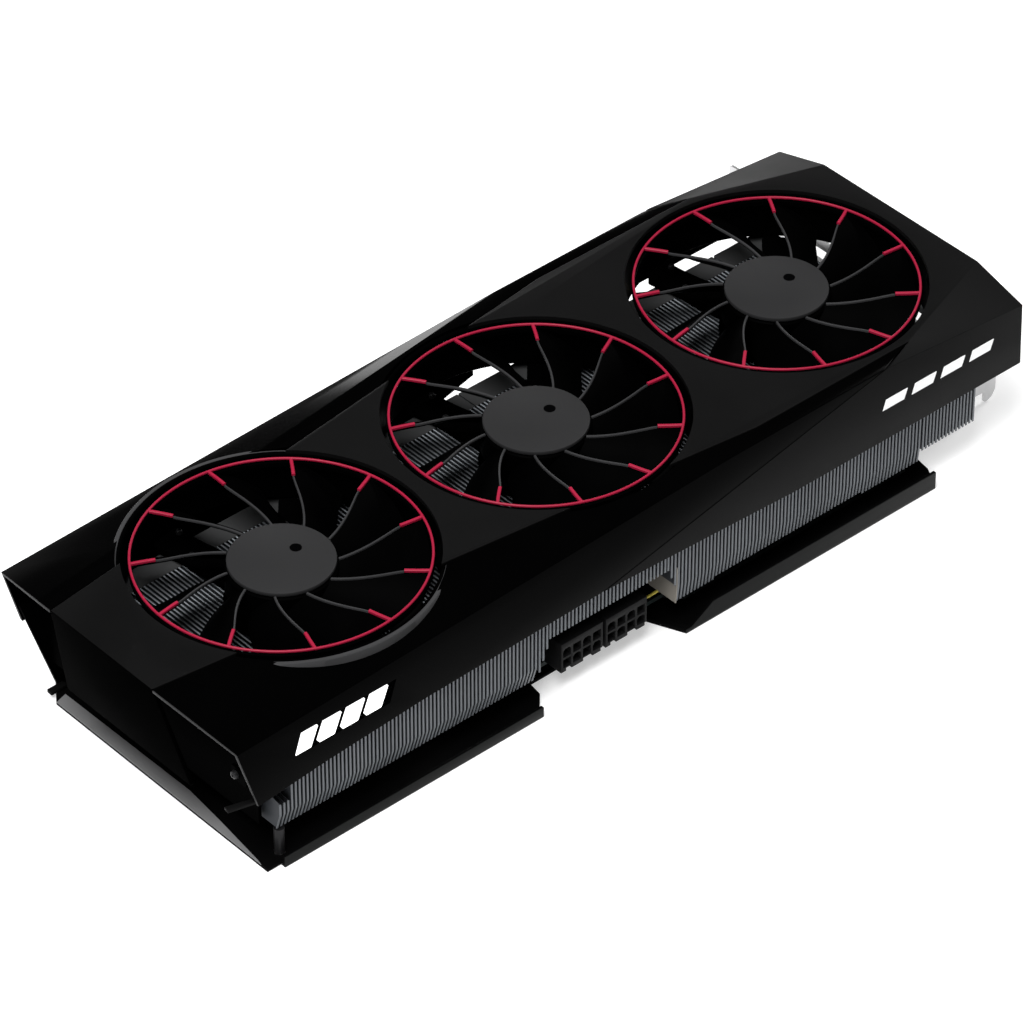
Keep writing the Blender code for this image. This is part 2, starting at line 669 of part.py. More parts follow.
def io_bracket(material, card):
    """Two-slot bracket: plate with display windows and a vent grille, two tongues and a notched screw tab."""
    top = BRACKET_LOW_Z + 18.42 + SLOT_PITCH
    shoulder = 73.0
    tongue = [(6.9 + i * SLOT_PITCH, 16.9 + i * SLOT_PITCH) for i in range(2)]
    outline = [(TAB_Y, BRACKET_LOW_Z), (shoulder, BRACKET_LOW_Z)]
    for low, high in tongue:
        outline += [(shoulder, low - 3.0), (shoulder + 3.5, low), (TONGUE_TIP_Y, low), (TONGUE_TIP_Y, high),
                    (shoulder + 3.5, high), (shoulder, high + 3.0)]
    outline += [(shoulder, top), (TAB_Y, top)]
    plate = make_object("io_bracket", prism(outline, BRACKET_X0, BRACKET_X1, "X"), material, card)
    tab_outline = [(BRACKET_X0, 5.0), (171.8, 5.0), (171.8, BRACKET_LOW_Z), (173.6, BRACKET_LOW_Z),
                   (175.6, 1.4), (TAB_TIP_X, 4.0), (TAB_TIP_X, top - 3.0), (TAB_TIP_X - 3.0, top),
                   (BRACKET_X0, top)]
    tab = prism(tab_outline, TAB_Y - 1.0, TAB_Y + 0.05, "Y")
    boolean(plate, make_cutter("add_tab", tab, card), "UNION")
    windows = bmesh.new()
    for y, width in DISPLAY_SOCKETS:
        half = width / 2 + GAP
        outline = rectangle(y - half, DISPLAY_LOW - GAP, y + half, DISPLAY_HIGH + GAP)
        add_prism(windows, outline, BRACKET_X0 - 2, BRACKET_X1 + 2, "X")
    for row in range(2):
        for column in range(7):
            y = -22.0 + column * 12.0
            z = 24.0 + row * 9.0
            outline = rectangle(y - 4.5, z - 2.4, y + 4.5, z + 2.4)
            add_prism(windows, outline, BRACKET_X0 - 2, BRACKET_X1 + 2, "X")
    boolean(plate, make_cutter("cut_windows", windows, card), "DIFFERENCE")
    return plate


def display_socket(index, y, width, material, card):
    """Display socket: a metal shell around an insulating tongue, open at the bracket."""
    wall = 0.5
    x_back = 150.0
    x_front = BRACKET_X1 + 0.4
    half = width / 2
    body = box(x_back, y - half, DISPLAY_LOW, x_front, y + half, DISPLAY_HIGH)
    socket = make_object(f"display_socket_{index}", body, material, card)
    middle = (DISPLAY_LOW + DISPLAY_HIGH) / 2
    mouth = bmesh.new()
    for low, high in ((DISPLAY_LOW + wall, middle - 0.8), (middle + 0.8, DISPLAY_HIGH - wall)):
        outline = rectangle(x_front - 9, y - half + wall, x_front + 1, y + half - wall)
        add_prism(mouth, outline, low, high)
    boolean(socket, make_cutter(f"cut_mouth_{index}", mouth, card), "DIFFERENCE")
    return socket


# ---- backplate and fasteners --------------------------------------------------------------------------

LEFT_LIP = (-158.2, -50.0)      # run of the near lip beside the free end
RIGHT_LIP = (12.3, 126.6)       # run of the near lip beside the bracket end
LEFT_LIP_Z = 4.2
RIGHT_LIP_Z = 7.2
FREE_PLATE_X = -163.7


def backplate_outline():
    near = NEAR_LIP_Y
    return [(FREE_PLATE_X, near + 2.0), (LEFT_LIP[0], near + 2.0), (LEFT_LIP[0], near),
            (LEFT_LIP[1], near), (LEFT_LIP[1], near + 2.2), (-44.5, -52.0), (-43.5, -45.8), (5.8, -45.5),
            (RIGHT_LIP[0], near), (RIGHT_LIP[1], near), (131.0, -52.0), (133.5, -37.5), (162.0, -36.0),
            (162.0, 56.0), (-158.0, 56.0), (FREE_PLATE_X, 48.3)]


def backplate(material, card):
    """Metal backplate: floor with a vent grille at the free end, and a folded near lip in two runs."""
    near = NEAR_LIP_Y
    floor = make_object("backplate", prism(backplate_outline(), 0.0, BACKPLATE_T), material, card)
    left = prism([(LEFT_LIP[0], 0.0), (LEFT_LIP[1], 0.0), (LEFT_LIP[1], LEFT_LIP_Z),
                  (LEFT_LIP[0], LEFT_LIP_Z)],
                 near, near + LIP_T, "Y")
    right = prism([(RIGHT_LIP[0], 0.0), (RIGHT_LIP[1], 0.0), (RIGHT_LIP[1], RIGHT_LIP_Z),
                   (RIGHT_LIP[0] + 12.0, RIGHT_LIP_Z)], near, near + LIP_T, "Y")
    boolean(floor, make_cutter("add_left_lip", left, card), "UNION")
    boolean(floor, make_cutter("add_right_lip", right, card), "UNION")
    vents = bmesh.new()
    for column in range(8):
        x = -143.0 + column * 11.0
        add_prism(vents, rectangle(x - 1.5, -30.0, x + 1.5, 30.0), -1.0, BACKPLATE_T + 1.0)
    boolean(floor, make_cutter("cut_vents", vents, card), "DIFFERENCE")
    return floor


def fasteners(material, card):
    """Posts between backplate and cooler or board, and the screws that hold the bracket's tab side."""
    post_low = BACKPLATE_T + GAP
    free_end_post = disc(1.8, post_low, FIN_BOTTOM - GAP, 16, -155.6, -54.4)
    make_object("post_free_end", free_end_post, material, card, smooth=True)
    for i, (x, y) in enumerate(((-44.0, -40.0), (-44.0, 48.0), (150.0, 48.0), (150.0, -34.0))):
        post = disc(2.2, post_low, BOARD_LOW - GAP, 16, x, y)
        make_object(f"standoff_{i + 1}", post, material, card, smooth=True)
    for i, z in enumerate((23.0, 35.0)):
        profile = [(0.0, 0.0), (1.4, 0.0), (2.8, 0.9), (2.8, 1.7), (0.0, 1.7)]
        screw = turned(profile, 16)
        bmesh.ops.rotate(screw, matrix=Vector((0, 0, 1)).rotation_difference(Vector((1, 0, 0))).to_matrix(),
                         verts=screw.verts)
        bmesh.ops.translate(screw, vec=(BRACKET_X1 + GAP, -31.5, z), verts=screw.verts)
        make_object(f"bracket_screw_{i + 1}", screw, material, card, smooth=True)


# ---- the whole card -----------------------------------------------------------------------------------

def make_materials():
    return {
        "matte_black": make_material("matte_black", (0.020, 0.020, 0.021), 0.42, 0.0),
        "gloss_black": make_material("gloss_black", (0.006, 0.006, 0.007), 0.10, 0.0),
        "light_white": make_material("light_white", (0.95, 0.96, 1.0), 0.35, 0.0),
        "fan_plastic": make_material("fan_plastic", (0.010, 0.010, 0.011), 0.35, 0.0),
        "fan_red": make_material("fan_red", (0.60, 0.010, 0.035), 0.40, 0.0),
        "cap_grey": make_material("cap_grey", (0.032, 0.033, 0.036), 0.45, 0.0),
        "steel": make_material("steel", (0.55, 0.56, 0.58), 0.35, 1.0),
        "brass": make_material("brass", (0.62, 0.47, 0.20), 0.35, 1.0),
        "copper": make_material("copper", (0.72, 0.40, 0.26), 0.30, 1.0),
        "fin_aluminium": make_material("fin_aluminium", (0.62, 0.65, 0.68), 0.38, 1.0),
        "board": make_material("board", (0.012, 0.014, 0.016), 0.45, 0.0),
        "silicon": make_material("silicon", (0.12, 0.13, 0.15), 0.12, 0.6),
        "chip_black": make_material("chip_black", (0.015, 0.015, 0.016), 0.50, 0.0),
        "socket_black": make_material("socket_black", (0.012, 0.012, 0.013), 0.40, 0.0),
        "bracket_steel": make_material("bracket_steel", (0.58, 0.59, 0.60), 0.35, 1.0),
        "backplate_black": make_material("backplate_black", (0.030, 0.030, 0.032), 0.38, 0.4),
    }


def build_card():
    clear_scene()
    materials = make_materials()
    card = make_empty("card", None, -CARD_CENTRE_X, -CARD_CENTRE_Y, 0.0)
    centre_shell(materials["matte_black"], card)
    near = wing("shroud_wing_near", -1.0, materials["gloss_black"], card)
    wing("shroud_wing_far", 1.0, materials["gloss_black"], card)
    light_bar(near, materials["light_white"], card)
    liner(materials["matte_black"], card)
    for name in FANS:
        fan(name, materials, card)
    cooler(materials, card)
    board(materials, card)
    power_socket("power_socket_left", -37.9, materials["socket_black"], card)
    power_socket("power_socket_right", -18.6, materials["socket_black"], card)
    io_bracket(materials["bracket_steel"], card)
    for index, (y, width) in enumerate(DISPLAY_SOCKETS, start=1):
        display_socket(index, y, width, materials["steel"], card)
    backplate(materials["backplate_black"], card)
    fasteners(materials["steel"], card)


build_card()
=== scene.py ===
import math

import bmesh
import bpy
from mathutils import Matrix, Vector


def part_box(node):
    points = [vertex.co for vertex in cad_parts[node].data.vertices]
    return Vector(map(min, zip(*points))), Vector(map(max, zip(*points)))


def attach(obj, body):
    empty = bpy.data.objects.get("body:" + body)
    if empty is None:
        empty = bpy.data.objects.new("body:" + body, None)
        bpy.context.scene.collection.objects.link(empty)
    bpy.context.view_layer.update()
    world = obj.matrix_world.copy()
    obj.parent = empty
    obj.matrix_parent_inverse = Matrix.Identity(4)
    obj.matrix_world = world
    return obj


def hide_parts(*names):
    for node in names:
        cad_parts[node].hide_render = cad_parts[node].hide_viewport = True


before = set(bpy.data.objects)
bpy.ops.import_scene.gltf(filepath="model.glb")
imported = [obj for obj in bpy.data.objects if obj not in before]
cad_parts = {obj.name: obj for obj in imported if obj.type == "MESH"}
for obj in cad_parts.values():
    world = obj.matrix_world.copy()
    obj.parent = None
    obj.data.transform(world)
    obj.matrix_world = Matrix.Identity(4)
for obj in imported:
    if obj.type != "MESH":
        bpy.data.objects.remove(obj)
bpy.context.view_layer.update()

MM = 0.001
CARD = "card"
FANS = ("left", "middle", "right")

# The middle fan's axis is the zero of every length below; the CAD says where it is.
hub_low, hub_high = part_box("fan_cap_middle")
AXIS_X = (hub_low[0] + hub_high[0]) / 2
AXIS_Y = (hub_low[1] + hub_high[1]) / 2
left_low, left_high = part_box("fan_cap_left")
PITCH = (AXIS_X - (left_low[0] + left_high[0]) / 2) / MM
FAN_X = {"left": -PITCH, "middle": 0.0, "right": PITCH}

RING_Z = 62.6
PANEL_Z = RING_Z + 0.9
RING_R = 48.0
BLADES = 11
PHASES = {"left": math.radians(13.9), "middle": math.radians(17.0), "right": math.radians(17.0)}
SWEEP = math.radians(17.8)
TICK_LEAN = math.radians(2.0)
TICK_END_R = 39.7
HUB_R = 18.3
CAP_R = 17.6


# ---- materials ----

NOISE_LOW = 0.3                 # the part of a noise texture's range that shows
NOISE_HIGH = 0.7


def fill(node, values):
    """Set a node's inputs by name."""
    for key, value in values.items():
        node.inputs[key].default_value = value


class Nodes:
    """Small helper that adds nodes to one material."""

    def __init__(self, material):
        self.tree = material.node_tree
        self.shader = self.tree.nodes["Principled BSDF"]
        self.place = self.tree.nodes.new("ShaderNodeTexCoord").outputs["Object"]

    def node(self, kind):
        return self.tree.nodes.new(kind)

    def link(self, a, b):
        self.tree.links.new(a, b)

    def noise(self, scale, detail, stretch):
        made = self.node("ShaderNodeTexNoise")
        fill(made, {"Scale": scale, "Detail": detail, "Roughness": 0.55})
        source = self.place
        if stretch is not None:
            mapping = self.node("ShaderNodeMapping")
            fill(mapping, {"Scale": stretch})
            self.link(source, mapping.inputs["Vector"])
            source = mapping.outputs["Vector"]
        self.link(source, made.inputs["Vector"])
        return made.outputs["Fac"]

    def blend(self, factor, first, second):
        ramp = self.node("ShaderNodeValToRGB")
        ramp.color_ramp.elements[0].position = NOISE_LOW
        ramp.color_ramp.elements[1].position = NOISE_HIGH
        ramp.color_ramp.elements[0].color = (*first, 1.0)
        ramp.color_ramp.elements[1].color = (*second, 1.0)
        self.link(factor, ramp.inputs["Fac"])
        return ramp.outputs["Color"]

    def spread(self, factor, low, high):
        made = self.node("ShaderNodeMapRange")
        fill(made, {"To Min": low, "To Max": high, "From Min": NOISE_LOW, "From Max": NOISE_HIGH})
        self.link(factor, made.inputs["Value"])
        return made.outputs["Result"]

    def bump(self, height, strength, distance):
        made = self.node("ShaderNodeBump")
        fill(made, {"Strength": strength, "Distance": distance})
        self.link(height, made.inputs["Height"])
        self.link(made.outputs["Normal"], self.shader.inputs["Normal"])


def surface(name, tone, tone_2, rough, metallic=0.0, specular=0.5, grain=2600.0, grain_depth=0.00002,
            grain_strength=0.35, smudge=28.0, stretch=None):
    """Moulded, painted or brushed surface: tone variation, uneven roughness and a fine relief."""
    material = bpy.data.materials.new(name)
    material.use_nodes = True
    nodes = Nodes(material)
    shader = nodes.shader
    fill(shader, {"Metallic": metallic, "Specular IOR Level": specular})
    cloudy = nodes.noise(smudge, 4.0, stretch)
    fine = nodes.noise(grain, 2.0, stretch)
    nodes.link(nodes.blend(cloudy, tone, tone_2), shader.inputs["Base Color"])
    nodes.link(nodes.spread(cloudy, rough[0], rough[1]), shader.inputs["Roughness"])
    nodes.bump(fine, grain_strength, grain_depth)
    return material


def board_surface():
    """Solder mask over copper tracks, with fine vias."""
    material = surface("board_mask", (0.003, 0.004, 0.0045), (0.005, 0.006, 0.0065), (0.30, 0.42),
                       specular=0.08)
    nodes = Nodes(material)
    brick = nodes.node("ShaderNodeTexBrick")
    fill(brick, {"Scale": 170.0, "Mortar Size": 0.018, "Mortar": (0.011, 0.015, 0.015, 1.0),
                 "Color1": (0.003, 0.004, 0.0043, 1.0), "Color2": (0.0045, 0.0058, 0.006, 1.0)})
    nodes.link(nodes.place, brick.inputs["Vector"])
    nodes.link(brick.outputs["Color"], nodes.shader.inputs["Base Color"])
    return material


def add_glow(material, colour, power):
    shader = material.node_tree.nodes["Principled BSDF"]
    fill(shader, {"Emission Color": (*colour, 1.0), "Emission Strength": power})


def glow_surface(name, colour, power):
    """Surface that gives off light of its own."""
    material = surface(name, colour, colour, (0.3, 0.4))
    add_glow(material, colour, power)
    return material


def grey(value, blue):
    """Grey whose blue channel differs a little."""
    return (value, value, blue)


PRESSED = {"metallic": 0.3, "grain": 1500.0, "smudge": 60.0}     # finish shared by the fins' materials

M = {
    "shell": surface("shell_satin_black", grey(0.0029, 0.00295), grey(0.0036, 0.00365), (0.42, 0.50),
                     specular=0.027),
    "gloss": surface("wing_gloss_black", grey(0.0002, 0.00022), grey(0.0004, 0.00042), (0.09, 0.13),
                     specular=0.010, grain=500.0, grain_depth=0.00001, grain_strength=0.08, smudge=18.0),
    "inner": surface("duct_black", grey(0.0002, 0.00022), grey(0.0005, 0.00052), (0.40, 0.50),
                     specular=0.002),
    "collar": surface("collar_grey", grey(0.030, 0.031), grey(0.036, 0.037), (0.45, 0.55), specular=0.1),
    "cap": surface("hub_cap_grey", grey(0.0155, 0.016), grey(0.0175, 0.018), (0.50, 0.58), specular=0.08,
                   grain=4200.0),
    "mark": surface("hub_dot_black", grey(0.0003, 0.00035), grey(0.0006, 0.00065), (0.35, 0.45),
                    specular=0.005),
    "blade": surface("blade_black", grey(0.0002, 0.00022), grey(0.0006, 0.00062), (0.40, 0.52),
                     specular=0.003),
    # Lighter grey along the blades' leading-edge ribs: a raised rib, coloured as a painted highlight for the
    # light caught by the edge.
    "rib": surface("blade_edge_grey_painted_highlight", grey(0.022, 0.023), grey(0.028, 0.029), (0.45, 0.55), specular=0.1),
    "edge": surface("shell_edge_grey", grey(0.018, 0.0185), grey(0.022, 0.0225), (0.45, 0.55), specular=0.1),
    "red": surface("trim_red", (0.24, 0.0065, 0.027), (0.28, 0.0075, 0.032), (0.40, 0.50), specular=0.14,
                   grain=3200.0),
    # Near-black copy of the shell plastic for the free-end faces: painted shade, darker than the satin shell
    # and almost without reflection.
    "end": surface("closing_panel_painted_shade", grey(0.0002, 0.00021), grey(0.0004, 0.00042), (0.42, 0.52),
                   specular=0.0005),
    # Fin sheets: the fin aluminium darkened with painted shade, so the gaps between the fins read dark.
    "fin": surface("fin_aluminium_painted_shade", (0.036, 0.039, 0.044), (0.050, 0.054, 0.060), (0.40, 0.50),
                   grain_strength=0.1, stretch=(1.0, 0.08, 1.0), specular=0.1, **PRESSED),
    "fin_fold": surface("fin_folded_edge", (0.094, 0.101, 0.110), (0.124, 0.133, 0.144), (0.38, 0.48),
                        grain_strength=0.06, stretch=grey(1.0, 0.1), specular=0.2, **PRESSED),
    # Lighter copy of the fin aluminium for the upward faces: painted highlight where light falls on the fins'
    # top edges.
    "fin_top": surface("fin_top_edge_painted_highlight", (0.24, 0.26, 0.28), (0.30, 0.32, 0.345), (0.38, 0.48),
                       grain_strength=0.06, specular=0.2, **PRESSED),
    "fin_strip": surface("fin_flange", (0.034, 0.0345, 0.035), (0.042, 0.0425, 0.043), (0.35, 0.45),
                         grain_strength=0.1, stretch=(0.08, 1.0, 1.0), specular=0.1, **PRESSED),
    # Warm beige plate on the right stack's first fin: painted light, standing for that fin face lit by the
    # lamps.
    "plate": surface("stack_end_painted_light_plate", (0.17, 0.158, 0.14), (0.21, 0.195, 0.17), (0.45, 0.55), specular=0.2,
                     grain=1500.0, grain_strength=0.1, stretch=(1.0, 0.08, 1.0), smudge=60.0),
    "steel": surface("screw_steel", grey(0.42, 0.43), grey(0.55, 0.56), (0.22, 0.34), metallic=1.0),
    "dark_steel": surface("screw_black_steel", grey(0.014, 0.0145), grey(0.024, 0.025), (0.28, 0.40),
                          metallic=0.5, specular=0.1),
    "bracket": surface("bracket_brushed_steel", grey(0.54, 0.545), grey(0.62, 0.625), (0.30, 0.42),
                       metallic=0.95, grain=900.0, stretch=(1.0, 0.04, 1.0), smudge=40.0),
    "copper": surface("copper_plated", (0.62, 0.32, 0.20), (0.74, 0.42, 0.28), (0.22, 0.36), metallic=1.0,
                      smudge=70.0),
    "brass": surface("bearing_brass", (0.56, 0.42, 0.16), (0.66, 0.50, 0.22), (0.25, 0.35), metallic=1.0),
    "winding": surface("winding_copper", (0.50, 0.22, 0.10), (0.62, 0.30, 0.15), (0.35, 0.45), metallic=0.8,
                       grain=1800.0, stretch=grey(1.0, 6.0), grain_depth=0.0001, grain_strength=0.8),
    # Backplate paint darkened with painted shade, for its top lying in the card's shadow.
    "backplate": surface("backplate_paint_painted_shade", grey(0.0011, 0.00115), grey(0.0017, 0.00175), (0.40, 0.50),
                         specular=0.012, grain=3000.0),
    # Lighter copy of the backplate paint for the folded lips: painted light, as the lips face the lamps'
    # side.
    "lip": surface("backplate_lip_paint_painted_light", (0.0072, 0.0075, 0.0074), (0.0090, 0.0094, 0.0092), (0.34, 0.44),
                   specular=0.05, grain=3000.0),
    # Light grey strip of painted light: the lit part of the backplate's top at the free end, outlined by the
    # card's shadow.
    "margin": surface("backplate_painted_light_strip", grey(0.15, 0.152), grey(0.18, 0.182), (0.35, 0.45),
                      specular=0.2, grain=3000.0),
    "socket": surface("socket_nylon", grey(0.0052, 0.0054), grey(0.0068, 0.0071), (0.42, 0.52),
                      specular=0.05),
    "chip": surface("chip_resin", grey(0.012, 0.0125), grey(0.016, 0.0165), (0.55, 0.65), specular=0.2),
    "choke": surface("choke_grey", grey(0.075, 0.078), grey(0.10, 0.103), (0.45, 0.55), specular=0.4),
    "silicon": surface("die_silicon", (0.09, 0.10, 0.12), (0.12, 0.13, 0.15), (0.08, 0.14), metallic=0.7),
    "gold": surface("contact_gold", (0.72, 0.50, 0.18), (0.82, 0.58, 0.24), (0.20, 0.30), metallic=1.0),
    "ink": surface("stripe_white", (0.80, 0.80, 0.80), (0.86, 0.86, 0.86), (0.45, 0.55), specular=0.3),
    "yellow": surface("sleeve_yellow", (0.27, 0.225, 0.03), (0.33, 0.275, 0.04), (0.45, 0.55),
                      specular=0.15),
    "board": board_surface(),
    "glow": glow_surface("lit_diffuser", (1.0, 1.0, 1.0), 1.1),
}


# ---- making pieces ----

SMOOTH_ANGLE = 35.0             # edges sharper than this many degrees stay sharp


def new_piece(name, builder, material, body=CARD, smooth=SMOOTH_ANGLE, replaces=()):
    """A bmesh in millimetres from the middle fan's axis becomes a piece in the CAD's frame."""
    bmesh.ops.recalc_face_normals(builder, faces=builder.faces)
    bmesh.ops.scale(builder, vec=(MM, MM, MM), verts=builder.verts)
    bmesh.ops.translate(builder, vec=(AXIS_X, AXIS_Y, 0.0), verts=builder.verts)
    mesh = bpy.data.meshes.new(name)
    builder.to_mesh(mesh)
    builder.free()
    piece = bpy.data.objects.new(name, mesh)
    bpy.context.scene.collection.objects.link(piece)
    mesh.materials.append(M[material])
    if smooth:
        mesh.shade_smooth()
        mesh.set_sharp_from_angle(angle=math.radians(smooth))
    if body is not None:
        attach(piece, body)
    if replaces:
        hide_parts(*replaces)
    return piece


def apply_modifiers(piece):
    graph = bpy.context.evaluated_depsgraph_get()
    mesh = bpy.data.meshes.new_from_object(piece.evaluated_get(graph))
    old = piece.data
    piece.modifiers.clear()
    piece.data = mesh
    bpy.data.meshes.remove(old)
    mesh.name = piece.name
    mesh.shade_smooth()
    mesh.set_sharp_from_angle(angle=math.radians(SMOOTH_ANGLE))


def paint(piece, material, test):
    """Give a second material to the faces that pass a test."""
    piece.data.materials.append(M[material])
    for face in piece.data.polygons:
        if test(face):
            face.material_index = 1


def bevel(piece, width, segments=2, angle=25.0):
    step = piece.modifiers.new("bevel", "BEVEL")
    step.width = width * MM
    step.segments = segments
    step.limit_method = "ANGLE"
    step.angle_limit = math.radians(angle)


def finish_bevel(piece, width, segments=2, angle=25.0):
    bevel(piece, width, segments, angle)
    apply_modifiers(piece)


def cut(piece, builders, operation="DIFFERENCE"):
    """Cut a list of closed bmeshes out of a piece, or join them to it."""
    tools = []
    for i, builder in enumerate(builders):
        tool = new_piece(f"{piece.name}_tool_{i}", builder, "inner", body=None, smooth=None)
        step = piece.modifiers.new("cut", "BOOLEAN")
        step.object = tool
        step.operation = operation
        step.solver = "EXACT"
        tools.append(tool)
    apply_modifiers(piece)
    for tool in tools:
        mesh = tool.data
        bpy.data.objects.remove(tool, do_unlink=True)
        bpy.data.meshes.remove(mesh)


def axis_point(axis, a, b, level):
    if axis == "X":
        return (level, a, b)
    if axis == "Y":
        return (a, level, b)
    return (a, b, level)


def add_prism(builder, outline, low, high, axis="Z"):
    bottom = [builder.verts.new(axis_point(axis, a, b, low)) for a, b in outline]
    top = [builder.verts.new(axis_point(axis, a, b, high)) for a, b in outline]
    builder.faces.new(bottom[::-1])
    builder.faces.new(top)
    for i in range(len(outline)):
        j = (i + 1) % len(outline)
        builder.faces.new((bottom[i], bottom[j], top[j], top[i]))


def rectangle(x0, y0, x1, y1):
    return [(x0, y0), (x1, y0), (x1, y1), (x0, y1)]


def add_box(builder, x0, y0, z0, x1, y1, z1):
    add_prism(builder, rectangle(x0, y0, x1, y1), z0, z1)


def prism(outline, low, high, axis="Z"):
    builder = bmesh.new()
    add_prism(builder, outline, low, high, axis)
    return builder


def box(x0, y0, z0, x1, y1, z1):
    return prism(rectangle(x0, y0, x1, y1), z0, z1)


def polar(cx, radius, angle, height):
    return (cx + radius * math.cos(angle), radius * math.sin(angle), height)


def circle(radius, count, cx=0.0, cy=0.0):
    step = 2 * math.pi / count
    return [(cx + radius * math.cos(i * step), cy + radius * math.sin(i * step)) for i in range(count)]


def add_turned(builder, profile, count, cx=0.0, cy=0.0, axis="Z", lift=0.0):
    """Turn a closed (radius, height) profile about an axis through (cx, cy)."""
    rings = []
    for radius, height in profile:
        if radius == 0.0:
            rings.append([builder.verts.new(axis_point(axis, cx, cy, height + lift))] * count)
        else:
            ring = circle(radius, count, cx, cy)
            rings.append([builder.verts.new(axis_point(axis, a, b, height + lift)) for a, b in ring])
    for inner, outer in zip(rings, rings[1:] + rings[:1]):
        for i in range(count):
            j = (i + 1) % count
            corners = []
            for vert in (inner[i], inner[j], outer[j], outer[i]):
                if vert not in corners:
                    corners.append(vert)
            if len(corners) > 2:
                builder.faces.new(corners)


def join_rings(builder, rings, closed=False):
    """Faces between successive closed rings of vertices, with end caps unless the run closes on itself."""
    pairs = list(zip(rings, rings[1:]))
    if closed:
        pairs.append((rings[-1], rings[0]))
    for first, second in pairs:
        for k in range(len(first)):
            m = (k + 1) % len(first)
            builder.faces.new((first[k], first[m], second[m], second[k]))
    if not closed:
        builder.faces.new(rings[0][::-1])
        builder.faces.new(rings[-1])


def add_swept(builder, cx, section, start, end, steps, closed):
    """A solid swept round a fan's axis; section(angle) gives its closed (radius, height) outline."""
    rings = []
    count = steps if closed else steps + 1
    for i in range(count):
        angle = start + (end - start) * i / steps
        rings.append([builder.verts.new(polar(cx, radius, angle, z)) for radius, z in section(angle)])
    join_rings(builder, rings, closed)


def add_tube(builder, points, radius, sides):
    """A round bar along a path of points."""
    rings = []
    for i, point in enumerate(points):
        ahead = Vector(points[min(i + 1, len(points) - 1)])
        behind = Vector(points[max(i - 1, 0)])
        forward = (ahead - behind).normalized()
        across = forward.cross(Vector((0.0, 0.0, 1.0))).normalized()
        up = across.cross(forward)
        ring = []
        for k in range(sides):
            turn = 2 * math.pi * k / sides
            ring.append(builder.verts.new(Vector(point) + across * (radius * math.cos(turn))
                                          + up * (radius * math.sin(turn))))
        rings.append(ring)
    join_rings(builder, rings)


def rounded(points, radius, steps=4):
    """Round the corners of a closed outline."""
    out = []
    count = len(points)
    for i in range(count):
        corner = Vector(points[i])
        before = Vector(points[i - 1]) - corner
        after = Vector(points[(i + 1) % count]) - corner
        reach = min(radius, before.length * 0.45, after.length * 0.45)
        a = corner + before.normalized() * reach
        b = corner + after.normalized() * reach
        for k in range(steps + 1):
            t = k / steps
            spot = a * (1 - t) ** 2 + corner * (2 * t * (1 - t)) + b * t ** 2
            out.append((spot.x, spot.y))
    return out


# ---- shroud ----

FOLD_Y = 58.7
LEAN = 0.032
FREE_X = -180.4
END_X = 165.3


def wall_y(height):
    return FOLD_Y + LEAN * (PANEL_Z - height)


def panel_edge(x):
    """Half width of the flat front panel."""
    if x < 48.0:
        return 25.2 + 28.3 * (x + 180.4) / 228.4
    return 53.5


def fold_height(x):
    """Height of the wings' long upper fold."""
    if x < 33.6:
        return RING_Z - 7.6 + 7.4 * (x + 174.5) / 208.1
    return RING_Z - 0.2 + 0.5 * (x - 33.6) / 68.7


WING_STEP = 0.12                # the wings lie this much under the front panel
BAND = 7.0                      # width of the nearly level strip beside the front panel
BAND_DROP = 0.35                # height lost across that strip
COLLAR_TOP = RING_Z - 0.5       # rim of the round collar that stands out of the wings' slope


def wing_height(x, y):
    """Height of a wing's outer face at x and half width y: a nearly level strip, then the slope."""
    edge = panel_edge(x)
    outer = min(edge + BAND, FOLD_Y - 0.5)
    if y <= outer:
        return PANEL_Z - WING_STEP - BAND_DROP * max(0.0, y - edge) / (outer - edge)
    band_end = PANEL_Z - WING_STEP - BAND_DROP
    return band_end + (fold_height(x) - band_end) * (y - outer) / (FOLD_Y - outer)


def sheet(points, faces, flat=()):
    builder = bmesh.new()
    verts = {key: builder.verts.new(place) for key, place in points.items()}
    twisted = []
    for key, corners in faces.items():
        face = builder.faces.new([verts[corner] for corner in corners])
        if key not in flat:
            twisted.append(face)
    bmesh.ops.triangulate(builder, faces=twisted)
    return builder


def thicken(piece, thickness):
    step = piece.modifiers.new("wall", "SOLIDIFY")
    step.thickness = thickness * MM
    step.offset = -1.0
    step.use_even_offset = True
    step.use_quality_normals = True


def hole_tool(radius, fan, low=30.0, high=10.0):
    return prism(circle(radius, 192, FAN_X[fan]), RING_Z - low, RING_Z + high)


